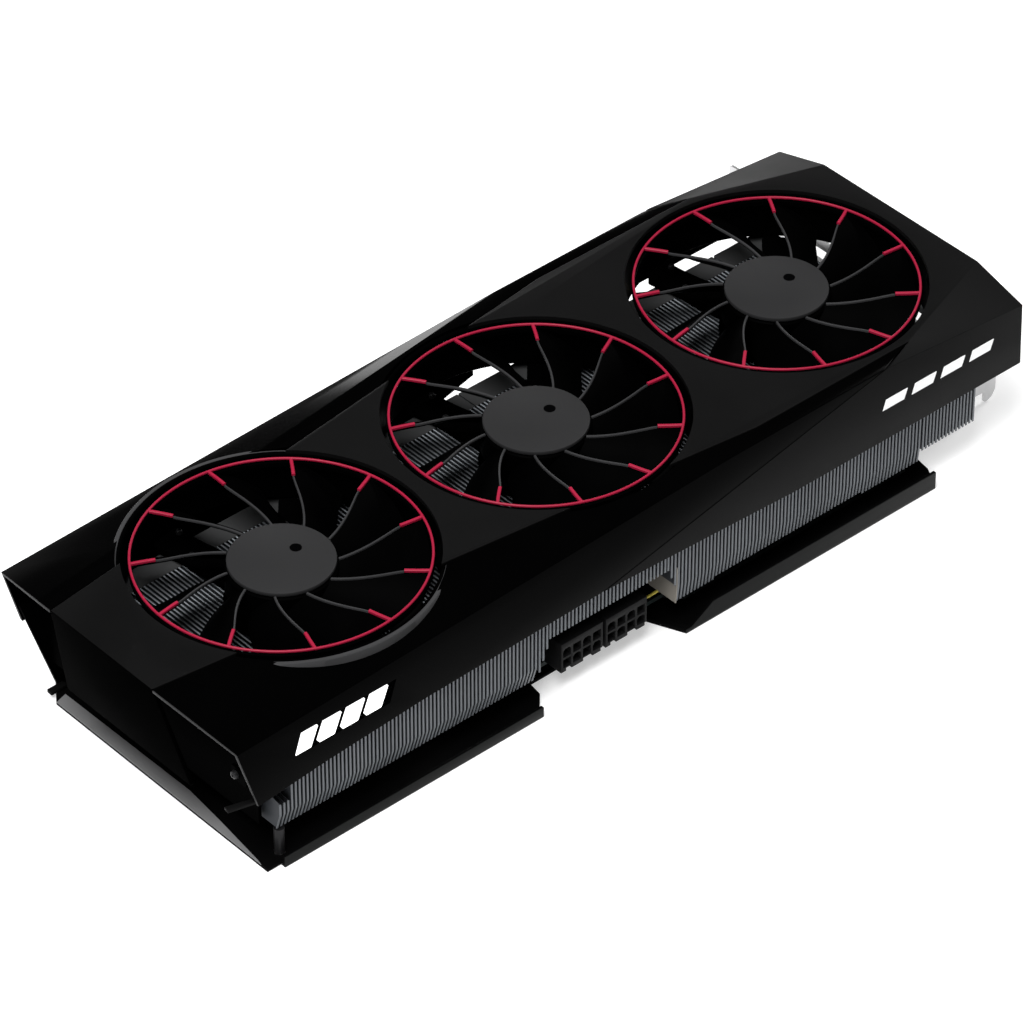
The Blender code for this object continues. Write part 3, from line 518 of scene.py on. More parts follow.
def centre_shell():
    """Front panel, corner facets, side walls and slanted closing panel, with the three fan openings."""
    fold = PANEL_Z - 0.6
    half = {
        "free": (FREE_X, 25.2, PANEL_Z),
        "wide": (48.0, 53.5, PANEL_Z),
        "facet": (116.6, 53.5, PANEL_Z),
        "end": (END_X, 37.0, PANEL_Z),
        "turn": (102.3, wall_y(fold), fold),
        "corner": (END_X, wall_y(RING_Z - 5.3), RING_Z - 5.3),
        "sill": (END_X, wall_y(RING_Z - 20), RING_Z - 20),
        "low_end": (END_X, wall_y(33.4), 33.4),
        "low_mid": (60.0, wall_y(33.6), 33.6),
        "low_split": (-24.0, wall_y(37.4), 37.4),
        "hang": (FREE_X + 9.0, 31.0, RING_Z - 40.3),
    }
    points = {}
    for side, sign in (("near", -1.0), ("far", 1.0)):
        for key, (x, y, z) in half.items():
            points[f"{key}_{side}"] = (x, sign * y, z)
    faces = {
        "front": ["free_far", "free_near", "wide_near", "facet_near", "end_near", "end_far", "facet_far",
                  "wide_far"],
        "free_end": ["free_near", "free_far", "hang_far", "hang_near"],
        "bracket_end": ["end_far", "end_near", "corner_near", "sill_near", "sill_far", "corner_far"],
    }
    for side in ("near", "far"):
        faces["facet_" + side] = ["facet_" + side, "turn_" + side, "corner_" + side, "end_" + side]
        wall = ("turn", "low_split", "low_mid", "low_end", "sill", "corner")
        faces["wall_" + side] = [part + "_" + side for part in wall]
    builder = sheet(points, faces, ("front", "free_end", "bracket_end"))
    piece = new_piece("shell_centre", builder, "shell", replaces=("shroud_centre",))
    thicken(piece, 1.5)
    bevel(piece, 0.3, 3, 12.0)
    cut(piece, [hole_tool(51.0, fan) for fan in FANS])
    # Free-end faces, bevels included, get the darker closing-panel black: painted shade that also hides the
    # light on their edges.
    limit = AXIS_X + (FREE_X + 9.5) * MM
    paint(piece, "end", lambda face: face.normal.z < 0.8 and face.center.x < limit)


def wing(name, sign, cad_node):
    """Glossy side shell: nearly level band, sloping top and side."""
    seam = 0.3
    top = PANEL_Z - WING_STEP
    meet_x = 33.6
    band_y = 25.2 + BAND
    points = {
        "free_top": (FREE_X, 25.2 + seam, top),
        "band_free": (FREE_X + 0.25, band_y, top - BAND_DROP),
        "free_fold": (FREE_X + 5.9, FOLD_Y, RING_Z - 7.6),
        "wide_top": (48.0, 53.5 + seam, top),
        "meet": (meet_x, FOLD_Y, RING_Z - 0.2),
        "facet_top": (116.6 - 2.4, 53.5 + seam, top),
        "turn": (102.3 - 1.5, wall_y(PANEL_Z - 0.6), PANEL_Z - 0.6),
        "low_split": (-25.4, wall_y(37.4), 37.4),
        "low_mid": (-100.0, wall_y(35.6), 35.6),
        "low_turn": (-140.6, wall_y(33.2), 33.2),
        "low_free": (-167.5, wall_y(30.7), 30.7),
    }
    points = {key: (x, sign * y, z) for key, (x, y, z) in points.items()}
    faces = {
        "band": ["free_top", "band_free", "meet", "wide_top"],
        "band_end": ["wide_top", "meet", "turn", "facet_top"],
        "top": ["band_free", "free_fold", "meet"],
        "side": ["free_fold", "low_free", "low_turn", "low_mid", "low_split", "turn", "meet"],
    }
    piece = new_piece(name, sheet(points, faces), "gloss", replaces=(cad_node,))
    thicken(piece, 1.2)
    bevel(piece, 0.25, 3, 12.0)
    tools = [hole_tool(52.6, fan, 12.0) for fan in FANS]
    if sign < 0:
        tools.append(prism(light_outline(0.3), -62.0, -56.0, "Y"))
    cut(piece, tools)
    limit = AXIS_X + (FREE_X + 13.5) * MM
    paint(piece, "edge", lambda face: face.normal.x < -0.55 and face.center.x < limit)


def rim_height(x, y):
    """Top of a fan's round collar: level where it stands out of a wing, under the surface elsewhere."""
    if y > panel_edge(x) + 0.5 and x < 48.0:
        return COLLAR_TOP
    return PANEL_Z - 1.7


def collar(name, sign):
    """Light grey ring that stands out of the wing's slope round the left fan."""
    cx = FAN_X["left"]
    start, end = (math.radians(36), math.radians(150))

    def section(angle):
        def ground(radius):
            return wing_height(cx + radius * math.cos(angle), radius * math.sin(angle))
        low = min(ground(53.6), COLLAR_TOP) - 0.4
        return [(52.2, low - 2.5), (52.2, COLLAR_TOP - 0.2), (52.35, COLLAR_TOP), (53.4, COLLAR_TOP),
                (53.65, COLLAR_TOP - 0.3), (53.85, low)]

    builder = bmesh.new()
    add_swept(builder, cx, section, start, end, 90, False)
    if sign < 0:
        bmesh.ops.scale(builder, vec=(1.0, -1.0, 1.0), verts=builder.verts)
    new_piece(name, builder, "collar")


def duct(fan):
    """Black liner of a fan's round opening, with a window that looks onto the fins."""
    cx = FAN_X[fan]

    def section(angle):
        high = rim_height(cx + 51.8 * math.cos(angle), abs(51.8 * math.sin(angle)))
        low = RING_Z - 18.8
        return [(51.05, low + 0.5), (51.05, high - 0.4), (51.45, high), (52.15, high), (52.15, low),
                (51.5, low)]

    builder = bmesh.new()
    add_swept(builder, cx, section, 0.0, 2 * math.pi, 240, True)
    piece = new_piece("duct_" + fan, builder, "inner")
    sill = RING_Z - (4.4 if fan == "right" else 13.0)
    window = prism(rounded([(46.0, -2.6), (58.0, -3.3), (58.0, 3.3), (46.0, 2.6)], 0.5), sill, RING_Z - 3.0)
    bmesh.ops.rotate(window, matrix=Matrix.Rotation(math.radians(-37.0), 3, "Z"), verts=window.verts)
    bmesh.ops.translate(window, vec=(cx, 0.0, 0.0), verts=window.verts)
    cut(piece, [window])


def liner():
    """Far skirt, baffle before the fins, strips behind the wings' seams and a screwed ear."""
    high, low = 39.0, 1.8
    high_y = wall_y(high) - 1.6
    low_y = 55.0
    skirt = prism([(-169.4, high), (-158.5, low), (-66.0, low), (-58.0, 15.5), (-6.0, 27.8), (22.0, 34.4),
                   (22.0, 37.4), (-58.0, high)], -1.2, 0.0, "Y")
    for vert in skirt.verts:
        vert.co.y += low_y + (high_y - low_y) * (vert.co.z - low) / (high - low)
    piece = new_piece("liner", skirt, "inner", replaces=("shroud_liner",))
    baffle = [(-49.5, 12.0), (54.9, 12.0), (57.0, 38.0), (52.5, 54.0), (27.0, 54.0), (21.0, 44.0),
              (-21.0, 44.0), (-27.0, 54.0), (-49.5, 54.0)]
    cut(piece, [prism(baffle, -159.6, -158.4, "X")], "UNION")
    finish_bevel(piece, 0.2)
    strips = bmesh.new()
    for sign in (1.0, -1.0):
        strip = [(-176.5, sign * 24.0), (-158.0, sign * 26.3), (-158.0, sign * 30.0), (-176.5, sign * 27.7)]
        add_prism(strips, strip, 60.4, 61.4)
    new_piece("seam_strips", strips, "inner", smooth=None)
    ear = box(-170.2, -57.2, 38.4, -169.0, -50.4, 43.6)
    new_piece("liner_ear", ear, "inner", smooth=None)
    screws = bmesh.new()
    add_screw(screws, -170.2, -52.4, 41.0, 1.5, "X", -1.0)
    new_piece("liner_screw", screws, "dark_steel")


def small_tabs():
    """Thin tabs at the rear corners of the free end."""
    builder = bmesh.new()
    add_prism(builder, [(-176.5, -55.8), (-176.2, -53.6), (-166.2, -56.6), (-166.2, -58.4)], 30.6, 31.8)
    add_prism(builder, [(-163.4, 51.0), (-163.4, 53.4), (-157.0, 53.4), (-157.0, 51.0)], 1.8, 3.2)
    piece = new_piece("shell_tabs", builder, "shell")
    finish_bevel(piece, 0.2)


LIGHT_RUN = (-152.0, -114.0)    # foot of the lit bar along X
LIGHT_LOW = 42.2
LIGHT_HIGH = 49.6
LEAN_RUN = 3.0


def leaning(x0, x1, low, high, lean):
    """Outline with a level foot and top, whose top is shifted along X."""
    return [(x0, low), (x1, low), (x1 + lean, high), (x0 + lean, high)]


def light_outline(margin):
    start, end = LIGHT_RUN
    return leaning(start - margin, end + margin, LIGHT_LOW - margin, LIGHT_HIGH + margin, LEAN_RUN)


def stripes():
    """Lit bar in the near wing and a white stripe on the near wall, both in plain equal segments."""
    base = prism(light_outline(0.2), -57.9, -57.4, "Y")
    new_piece("light_bed", base, "inner", smooth=None)
    builder = bmesh.new()
    count = 4
    step = (LIGHT_RUN[1] - LIGHT_RUN[0]) / count
    for i in range(count):
        x0 = LIGHT_RUN[0] + i * step
        outline = leaning(x0, x0 + step - 3.2, LIGHT_LOW, LIGHT_HIGH, LEAN_RUN)
        add_prism(builder, rounded(outline, 0.4), -wall_y(46.0) - 0.02, -57.9, "Y")
    new_piece("light_segments", builder, "glow", replaces=("light_bar",), smooth=None)
    builder = bmesh.new()
    wall = -wall_y(48.0)
    for i in range(count):
        x = 100.0 + i * 13.4
        outline = leaning(x, x + 10.0, 45.8, 50.2, 1.6)
        add_prism(builder, rounded(outline, 0.3), wall - 0.06, wall + 0.1, "Y")
    new_piece("side_stripe", builder, "ink", smooth=None)


# ---- fans ----

def edge_turn(radius):
    if radius > TICK_END_R:
        return -TICK_LEAN * (RING_R - radius) / (RING_R - TICK_END_R)
    share = (TICK_END_R - radius) / (TICK_END_R - CAP_R)
    return -TICK_LEAN - SWEEP * share ** 1.25


def rib_top(radius):
    """The rib on a blade's upper edge climbs from the cap's side to the inner end of the red tick."""
    return -2.9 + 2.4 * (radius - HUB_R) / (TICK_END_R - HUB_R)


def rib_foot(radius):
    return rib_top(radius) - 0.75


def blade_edges(radius):
    share = (radius - CAP_R) / (RING_R - CAP_R)
    return min(rib_top(radius), -0.5) - 1.0, -13.0 + 0.8 * share, (9.0 + 8.0 * share) / radius


def add_blade(builder, cx, phase):
    rows = []
    radial, across = 16, 10
    for i in range(radial + 1):
        radius = HUB_R - 0.6 + (RING_R - 0.2 - HUB_R + 0.6) * i / radial
        top, bottom, spread = blade_edges(radius)
        row = []
        for k in range(across + 1):
            share = k / across
            turn = phase + edge_turn(radius) - spread * share
            height = RING_Z + top + (bottom - top) * share + 0.9 * math.sin(math.pi * share)
            half = 0.30 + 0.35 * math.sin(math.pi * min(1.0, share * 0.85 + 0.15))
            row.append((radius, turn, height, half))
        rows.append(row)

    def vert(entry, side):
        radius, turn, height, half = entry
        return builder.verts.new(polar(cx, radius, turn, height + side * half))

    upper = [[vert(entry, 1.0) for entry in row] for row in rows]
    lower = [[vert(entry, -1.0) for entry in row] for row in rows]
    for i in range(radial):
        for k in range(across):
            builder.faces.new((upper[i][k], upper[i + 1][k], upper[i + 1][k + 1], upper[i][k + 1]))
            builder.faces.new((lower[i][k], lower[i][k + 1], lower[i + 1][k + 1], lower[i + 1][k]))
        builder.faces.new((upper[i][0], lower[i][0], lower[i + 1][0], upper[i + 1][0]))
        builder.faces.new((upper[i][across], upper[i + 1][across], lower[i + 1][across], lower[i][across]))
    for k in range(across):
        builder.faces.new((upper[0][k], upper[0][k + 1], lower[0][k + 1], lower[0][k]))
        builder.faces.new((upper[radial][k], lower[radial][k], lower[radial][k + 1], upper[radial][k + 1]))


def add_edge_strip(builder, cx, phase, start_r, end_r, start_half, end_half, low, high, steps):
    """A strip along a blade's upper edge between two radii."""
    rows = []
    for i in range(steps + 1):
        radius = start_r + (end_r - start_r) * i / steps
        turn = phase + edge_turn(radius)
        here = Vector(polar(0.0, radius, turn, 0.0))
        ahead = Vector(polar(0.0, radius + 0.5, phase + edge_turn(radius + 0.5), 0.0))
        along = (ahead - here).normalized()
        across = Vector((-along.y, along.x, 0.0))
        base, top = low(radius), high(radius)
        half = start_half + (end_half - start_half) * i / steps
        row = []
        for side, height in ((-1.0, base), (-1.0, top - 0.2), (-0.6, top), (0.6, top), (1.0, top - 0.2),
                             (1.0, base)):
            spot = here + across * (half * side)
            row.append(builder.verts.new((cx + spot.x, spot.y, RING_Z + height)))
        rows.append(row)
    join_rings(builder, rows)


def fan(name):
    """Rotor, blade ribs, red trim ring, hub cap and dot on the fan's own body, over its motor base."""
    cx = FAN_X[name]
    body = "fan_" + name
    rotor = bmesh.new()
    cup = [(0.0, -3.9), (17.9, -3.9), (HUB_R, -4.3), (HUB_R, -13.7), (HUB_R - 0.3, -14.0),
           (HUB_R - 1.9, -14.0), (HUB_R - 1.9, -5.6), (0.0, -5.6)]
    add_turned(rotor, cup, 96, cx, 0.0, lift=RING_Z)
    phases = [PHASES[name] + 2 * math.pi * k / BLADES for k in range(BLADES)]
    for phase in phases:
        add_blade(rotor, cx, phase)
    hoop = [(RING_R - 0.6, -3.0), (RING_R - 0.4, -3.2), (RING_R + 0.4, -3.2), (RING_R + 0.6, -3.0),
            (RING_R + 0.6, -1.5), (RING_R - 0.6, -1.5)]
    add_turned(rotor, hoop, 176, cx, 0.0, lift=RING_Z)
    new_piece("rotor_" + name, rotor, "blade", body, replaces=("fan_rotor_" + name,))
    # The ribs are lighter grey than the blades: painted highlight along the leading edges.
    ribs = bmesh.new()
    for phase in phases:
        add_edge_strip(ribs, cx, phase, HUB_R - 0.2, TICK_END_R, 0.40, 0.32, rib_foot, rib_top, 20)
    new_piece("blade_ribs_" + name, ribs, "rib", body)
    trim = bmesh.new()
    ring = []
    for k in range(10):
        turn = 2 * math.pi * k / 10
        ring.append((RING_R + 0.46 * math.cos(turn), -0.15 + 0.5 * math.sin(turn)))
    add_turned(trim, ring, 176, cx, 0.0, lift=RING_Z)
    for phase in phases:
        add_edge_strip(trim, cx, phase, TICK_END_R + 0.1, RING_R - 0.3, 0.55, 0.55, lambda r: -0.75,
                       lambda r: 0.15, 8)
    new_piece("trim_" + name, trim, "red", body, replaces=("fan_trim_" + name,))
    cap = bmesh.new()
    top = [(0.0, -3.6), (CAP_R - 0.1, -3.6), (CAP_R, -3.4), (CAP_R, -2.55), (CAP_R - 0.15, -2.25),
           (CAP_R - 0.5, -2.1), (0.0, -2.1)]
    add_turned(cap, top, 128, cx, 0.0, lift=RING_Z)
    new_piece("cap_" + name, cap, "cap", body, replaces=("fan_cap_" + name,))
    dot = bmesh.new()
    add_turned(dot, [(0.0, -2.2), (2.0, -2.2), (2.0, -2.05), (0.0, -2.05)], 48, cx + 6.7, 1.0, lift=RING_Z)
    new_piece("cap_ring_mark_" + name, dot, "mark", body)
    fan_base(name, cx)


def add_screw(builder, x, y, z, radius, axis="Z", flip=1.0):
    """Pan-head screw with a round recess, along Z or X."""
    profile = [(0.0, 0.0), (radius, 0.0), (radius, 0.5), (radius * 0.86, 1.1), (radius * 0.55, 1.4),
               (radius * 0.34, 1.45), (radius * 0.26, 0.8), (0.0, 0.7)]
    profile = [(r, h * flip) for r, h in profile]
    a, b, lift = (y, z, x) if axis == "X" else (x, y, z)
    add_turned(builder, profile, 28, a, b, axis, lift)


def fan_base(name, cx):
    """Motor plate with four webbed arms, and the screws that hold them."""
    arm_end = 50.5
    low, high = RING_Z - 20.8, RING_Z - 18.4
    base = bmesh.new()
    add_prism(base, circle(19.0, 96, cx), low, high)
    piece = new_piece("base_" + name, base, "inner", replaces=("fan_base_" + name,))
    arms = []
    screws = bmesh.new()
    edge = ((14, -7), (38, -5.5), (44, -5.5), (arm_end, -6), (arm_end, 6), (44, 5.5), (38, 5.5), (14, 7))
    for degrees in (100, 45, 280, 225):
        turn = math.radians(degrees)

        def spot(reach, aside):
            return (cx + reach * math.cos(turn) - aside * math.sin(turn),
                    reach * math.sin(turn) + aside * math.cos(turn))

        outline = [spot(math.sqrt(along * along - aside * aside), aside) for along, aside in edge]
        arms.append(prism(rounded(outline, 2.0, 3), low, high))
        for reach, aside in ((36.0, 2.5), (47.0, -4.0)):
            add_screw(screws, *spot(reach, aside), high, 1.2)
    cut(piece, arms, "UNION")
    finish_bevel(piece, 0.3)
    new_piece("base_screws_" + name, screws, "dark_steel")


# ---- cooler ----

PIPE_YS = (-30.0, -13.0, 5.0, 22.0)
PIPE_R = 3.0
PIPE_LOW = 16.4
PIPE_HIGH = 20.8
PLATE_X = 62.0
FIN_PITCH = 1.58
FIN_T = 0.32
FOLD_W = 0.75
FLANGE_Y = 37.0
FIN_TOP = 40.6
NOTCH_Z = 22.9                  # top of the three cut-back fins at the free end
NEAR_Y = -56.8
FAR_Y = 46.0


def fin_outline(bottom, inset, grooves, notch=False):
    knee = bottom + 6.5
    outline = [(NEAR_Y + inset, bottom)]
    if grooves:
        clear = PIPE_R + 0.15
        for y in PIPE_YS:
            outline.append((y - clear, bottom))
            for k in range(9):
                turn = math.pi * (1 - k / 8)
                outline.append((y + clear * math.cos(turn), PIPE_HIGH + clear * math.sin(turn)))
            outline.append((y + clear, bottom))
    outline += [(FAR_Y, bottom), (FAR_Y, FIN_TOP)]
    if notch:
        outline += [(-52.6, FIN_TOP), (-52.6, 23.6), (NEAR_Y + 0.6, NOTCH_Z)]
    else:
        outline += [(NEAR_Y, FIN_TOP)]
    outline.append((NEAR_Y, knee))
    return outline


def fin_stack(name, x0, x1, bottom):
    """Thin pressed fins with folded near and top edges, and a smooth flange along the far side."""
    sheets, folds = bmesh.new(), bmesh.new()
    count = int((x1 - x0 - FIN_T) / FIN_PITCH) + 1
    pitch = (x1 - x0 - FOLD_W) / (count - 1)
    for i in range(count):
        x = x0 + i * pitch
        notch = name == "left" and i < 3
        low = bottom
        if name == "left" and i >= count - 3:
            low = bottom + 4.0 * (i - count + 4)
        if name == "right" and i < 3:
            low = 27.5 - 3.9 * i
        if name == "right" and PLATE_X - 32.5 < x + 1 and x < PLATE_X + 32.5:
            low = 12.95
        inset = {"left": 1.9, "right": 0.7}.get(name, 0.0) if low < 14 else 0.0
        knee = low + 6.5
        outline = fin_outline(low, inset, low < PIPE_HIGH, notch)
        add_prism(sheets, outline, x + FOLD_W - FIN_T, x + FOLD_W, "X")
        edge = NEAR_Y - 0.02
        inside = edge + 0.3
        if notch:
            over_top = [(edge, NOTCH_Z), (inside, NOTCH_Z)]
        else:
            over_top = [(edge, FIN_TOP), (FLANGE_Y, FIN_TOP), (FLANGE_Y, FIN_TOP - 0.3),
                        (inside, FIN_TOP - 0.3)]
        foot = low + 0.05
        fold = [(edge + inset, foot), (edge, knee), *over_top, (inside, knee), (inside + inset, foot)]
        add_prism(folds, fold, x, x + FOLD_W - 0.01, "X")
    # The sheets take the darker fin material: painted shade for the gaps between them.
    new_piece("fins_" + name, sheets, "fin", replaces=("fin_stack_" + name,),
              smooth=None)
    piece = new_piece("fin_folds_" + name, folds, "fin_fold", smooth=None)
    # Upward faces of the folds get the lighter fin material: painted highlight on the top edges.
    paint(piece, "fin_top", lambda face: face.normal.z > 0.9)
    flange = [(FLANGE_Y, FIN_TOP - 0.3), (FAR_Y - 0.3, FIN_TOP - 0.3), (FAR_Y - 0.3, bottom + 3.0),
              (FAR_Y + 0.02, bottom + 3.0), (FAR_Y + 0.02, FIN_TOP + 0.02), (FLANGE_Y, FIN_TOP + 0.02)]
    new_piece("fin_flange_" + name, prism(flange, x0, x1, "X"), "fin_strip",
              smooth=None)


def cooler():
    fin_stack("left", -157.0, -45.4, 12.0)
    fin_stack("centre", -44.8, 5.8, 27.5)
    fin_stack("right", 6.4, 121.5, 12.0)
    fin_stack("end", 122.5, 147.0, 16.3)
    # Beige plate at the right stack's left end carries painted light for the lit first fin.
    low_part = [(y, min(z, 26.5)) for y, z in fin_outline(11.6, 0.4, True)]
    plate = prism(low_part, 10.6, 11.0, "X")
    new_piece("stack_end_painted_light_plate", plate, "plate", smooth=None)
    for i, y in enumerate(PIPE_YS):
        path = [(-150.0, PIPE_HIGH), (-100.0, PIPE_HIGH), (-50.0, PIPE_HIGH), (0.0, PIPE_HIGH)]
        for start, end, first, last in ((0.0, 26.0, PIPE_HIGH, PIPE_LOW), (98.0, 116.0, PIPE_LOW, PIPE_HIGH)):
            for k in range(1, 13):
                t = k / 12
                ease = t * t * (3 - 2 * t)
                path.append((start + (end - start) * t, first + (last - first) * ease))
        path += [(130.0, PIPE_HIGH), (138.5, PIPE_HIGH)]
        builder = bmesh.new()
        add_tube(builder, [(x, y, z) for x, z in path], PIPE_R, 24)
        new_piece(f"pipe_{i + 1}", builder, "copper", replaces=(f"heat_pipe_{i + 1}",))
        ends = bmesh.new()
        for x, sign in ((-150.0, -1.0), (138.5, 1.0)):
            dome = ((0.0, 0.0), (2.9, 0.0), (2.6, 0.9), (1.6, 1.9), (0.0, 2.3))
            add_turned(ends, [(r, h * sign) for r, h in dome], 24, y, PIPE_HIGH, axis="X", lift=x)
        new_piece(f"pipe_ends_{i + 1}", ends, "copper")


# ---- board, sockets, bracket, backplate ----

BOARD_TOP = 7.6
DISPLAYS = ((-20.0, 16.4), (1.5, 16.4), (23.0, 16.4), (44.0, 15.0))     # middle and width of each socket
SOCKET_LOW = 7.9


def board_details():
    """Gold edge contacts, capacitors, power stages and small parts that the CAD doesn't hold."""
    contacts = bmesh.new()
    for low in (BOARD_TOP, 5.97):
        x = 55.2
        while x < 138.2:
            if not 124.9 < x < 128.2:
                add_box(contacts, x, 61.6, low, x + 0.7, 67.6, low + 0.03)
            x += 1.0
    new_piece("edge_contacts", contacts, "gold", smooth=None)
    cans = bmesh.new()
    spots = [(-42.0 + 7.4 * i, 53.5) for i in range(7)] + [(14.0 + 7.4 * i, 54.5) for i in range(5)]
    spots += [(150.0, -20.0 + 8.0 * i) for i in range(6)]
    profile = [(0.0, 0.0), (2.7, 0.0), (2.9, 0.3), (2.75, 0.6), (2.9, 0.9), (2.9, 5.4), (2.6, 5.8),
               (0.0, 5.8)]
    for x, y in spots:
        add_turned(cans, profile, 32, x, y, lift=BOARD_TOP)
    new_piece("capacitor_cans", cans, "steel")
    chips = bmesh.new()
    for i in range(12):
        x = -44.0 + i * 6.4
        add_box(chips, x, 44.2, BOARD_TOP, x + 4.6, 48.8, BOARD_TOP + 0.9)
    for i in range(9):
        add_box(chips, 30.0 + i * 7.5, 40.0, BOARD_TOP, 32.6 + i * 7.5, 41.6, BOARD_TOP + 0.8)
        add_box(chips, 30.0 + i * 7.5, -46.0, BOARD_TOP, 31.4 + i * 7.5, -43.8, BOARD_TOP + 0.7)
    new_piece("power_stages", chips, "chip", smooth=None)
    sleeve = bmesh.new()
    add_tube(sleeve, [(0.0, -50.5, 15.0), (3.0, -51.6, 15.7), (6.2, -52.6, 17.0)], 0.5, 12)
    new_piece("lead_sleeve", sleeve, "yellow")


def power_socket(name, x0, cad_node):
    """Eight-way socket: stepped foot, keyed way mouths and contact barrels."""
    width, front, back = 18.0, -54.8, -42.8
    low, high = SOCKET_LOW, 19.7
    pitch, hole = 4.3, 2.9
    piece = new_piece(name, box(x0, front, low + 1.2, x0 + width, back, high), "socket",
                      replaces=(cad_node,))
    feet = []
    for start, end in ((0.0, 2.2), (4.6, 9.6), (13.6, 17.2)):
        feet.append(box(x0 + start, front, low, x0 + end, back, low + 2.0))
    cut(piece, feet, "UNION")
    ways = []
    pins = bmesh.new()
    half = hole / 2 + 0.25
    for column in range(4):
        for row in range(2):
            cx = x0 + width / 2 + (column - 1.5) * pitch
            cz = low + 3.4 + row * pitch
            square = rectangle(cx - half, cz - half, cx + half, cz + half)
            keyed = [(cx - half, cz - half), (cx + half, cz - half), (cx + half, cz + half - 0.8),
                     (cx + half - 0.8, cz + half), (cx - half + 0.8, cz + half), (cx - half, cz + half - 0.8)]
            shape = keyed if (column + row) % 2 else square
            ways.append(prism(shape, front - 1.0, back - 2.5, "Y"))
            add_turned(pins, [(0.0, 0.0), (0.75, 0.0), (0.75, -4.5), (0.3, -5.6), (0.0, -5.6)], 16, cx, cz,
                       axis="Y", lift=back - 2.6)
    cut(piece, ways)
    finish_bevel(piece, 0.15, 2, 40.0)
    new_piece(name + "_pins", pins, "dark_steel")


def bracket():
    """Two-slot bracket with rounded corners, windows, grille and a notched tab, folded from one sheet."""
    x0, x1, low = 166.2, 167.2, 0.4
    top = low + 38.74
    shoulder = 73.0
    outline = [(-37.0, low), (shoulder, low)]
    for i in range(2):
        bottom, high = 6.9 + i * 20.32, 16.9 + i * 20.32
        outline += [(shoulder, bottom - 3.0), (shoulder + 3.5, bottom), (84.8, bottom), (84.8, high),
                    (shoulder + 3.5, high), (shoulder, high + 3.0)]
    outline += [(shoulder, top), (-37.0, top)]
    piece = new_piece("bracket", prism(rounded(outline, 1.2), x0, x1, "X"), "bracket",
                      replaces=("io_bracket",))
    tab = [(x0, 5.0), (171.8, 5.0), (171.8, low), (173.6, low), (175.6, 1.4), (177.1, 4.0),
           (177.1, top - 3.0), (174.1, top), (x0, top)]
    cut(piece, [prism(rounded(tab, 0.8), -38.0, -36.95, "Y")], "UNION")
    windows = []
    for y, width in DISPLAYS:
        half = width / 2 + 0.3
        windows.append(prism(rounded(rectangle(y - half, 7.6, y + half, 14.1), 0.6), x0 - 2, x1 + 2, "X"))
    for row in range(2):
        for column in range(7):
            y = -22.0 + column * 12.0
            z = 24.0 + row * 9.0
            grille = rounded(rectangle(y - 4.5, z - 2.4, y + 4.5, z + 2.4), 1.2)
            windows.append(prism(grille, x0 - 2, x1 + 2, "X"))
    cut(piece, windows)
    finish_bevel(piece, 0.12, 2, 40.0)
    screws = bmesh.new()
    for z in (23.0, 35.0):
        add_screw(screws, x1 + 0.05, -31.5, z, 2.8, "X")
    new_piece("bracket_screws", screws, "steel",
              replaces=("bracket_screw_1", "bracket_screw_2"))


def display_sockets():
    """Four display sockets behind the bracket: metal shell, tongue and contacts."""
    for index, (y, width) in enumerate(DISPLAYS, start=1):
        low, high = SOCKET_LOW, 13.8
        x_front = 167.6
        half = width / 2
        if index < 4:
            face = [(y - half, low), (y + half, low), (y + half, high), (y - half + 2.0, high),
                    (y - half, high - 2.0)]
        else:
            face = [(y - half + 1.6, low), (y + half - 1.6, low), (y + half, low + 2.2), (y + half, high),
                    (y - half, high), (y - half, low + 2.2)]
        piece = new_piece(f"display_shell_{index}", prism(rounded(face, 0.5), 150.0, x_front, "X"), "steel",
                          replaces=(f"display_socket_{index}",))
        centre = Vector((y, (low + high) / 2))
        inner = []
        for a, b in face:
            away = Vector((a, b)) - centre
            inner.append((a - math.copysign(0.5, away.x), b - math.copysign(0.5, away.y)))
        cut(piece, [prism(rounded(inner, 0.4), x_front - 9.0, x_front + 1.0, "X")])
        tongue = bmesh.new()
        middle = (low + high) / 2
        add_box(tongue, x_front - 9.2, y - half + 1.6, middle - 0.7,
                x_front - 0.6, y + half - 1.6, middle + 0.7)
        new_piece(f"display_tongue_{index}", tongue, "socket", smooth=None)
        contacts = bmesh.new()
        count = 10
        for k in range(count):
            spot = y - half + 2.6 + (width - 5.2) * k / (count - 1)
            for foot in (middle + 0.69, middle - 0.76):
                add_box(contacts, x_front - 8.0, spot - 0.25, foot, x_front - 1.0, spot + 0.25, foot + 0.07)
        new_piece(f"display_contacts_{index}", contacts, "gold", smooth=None)


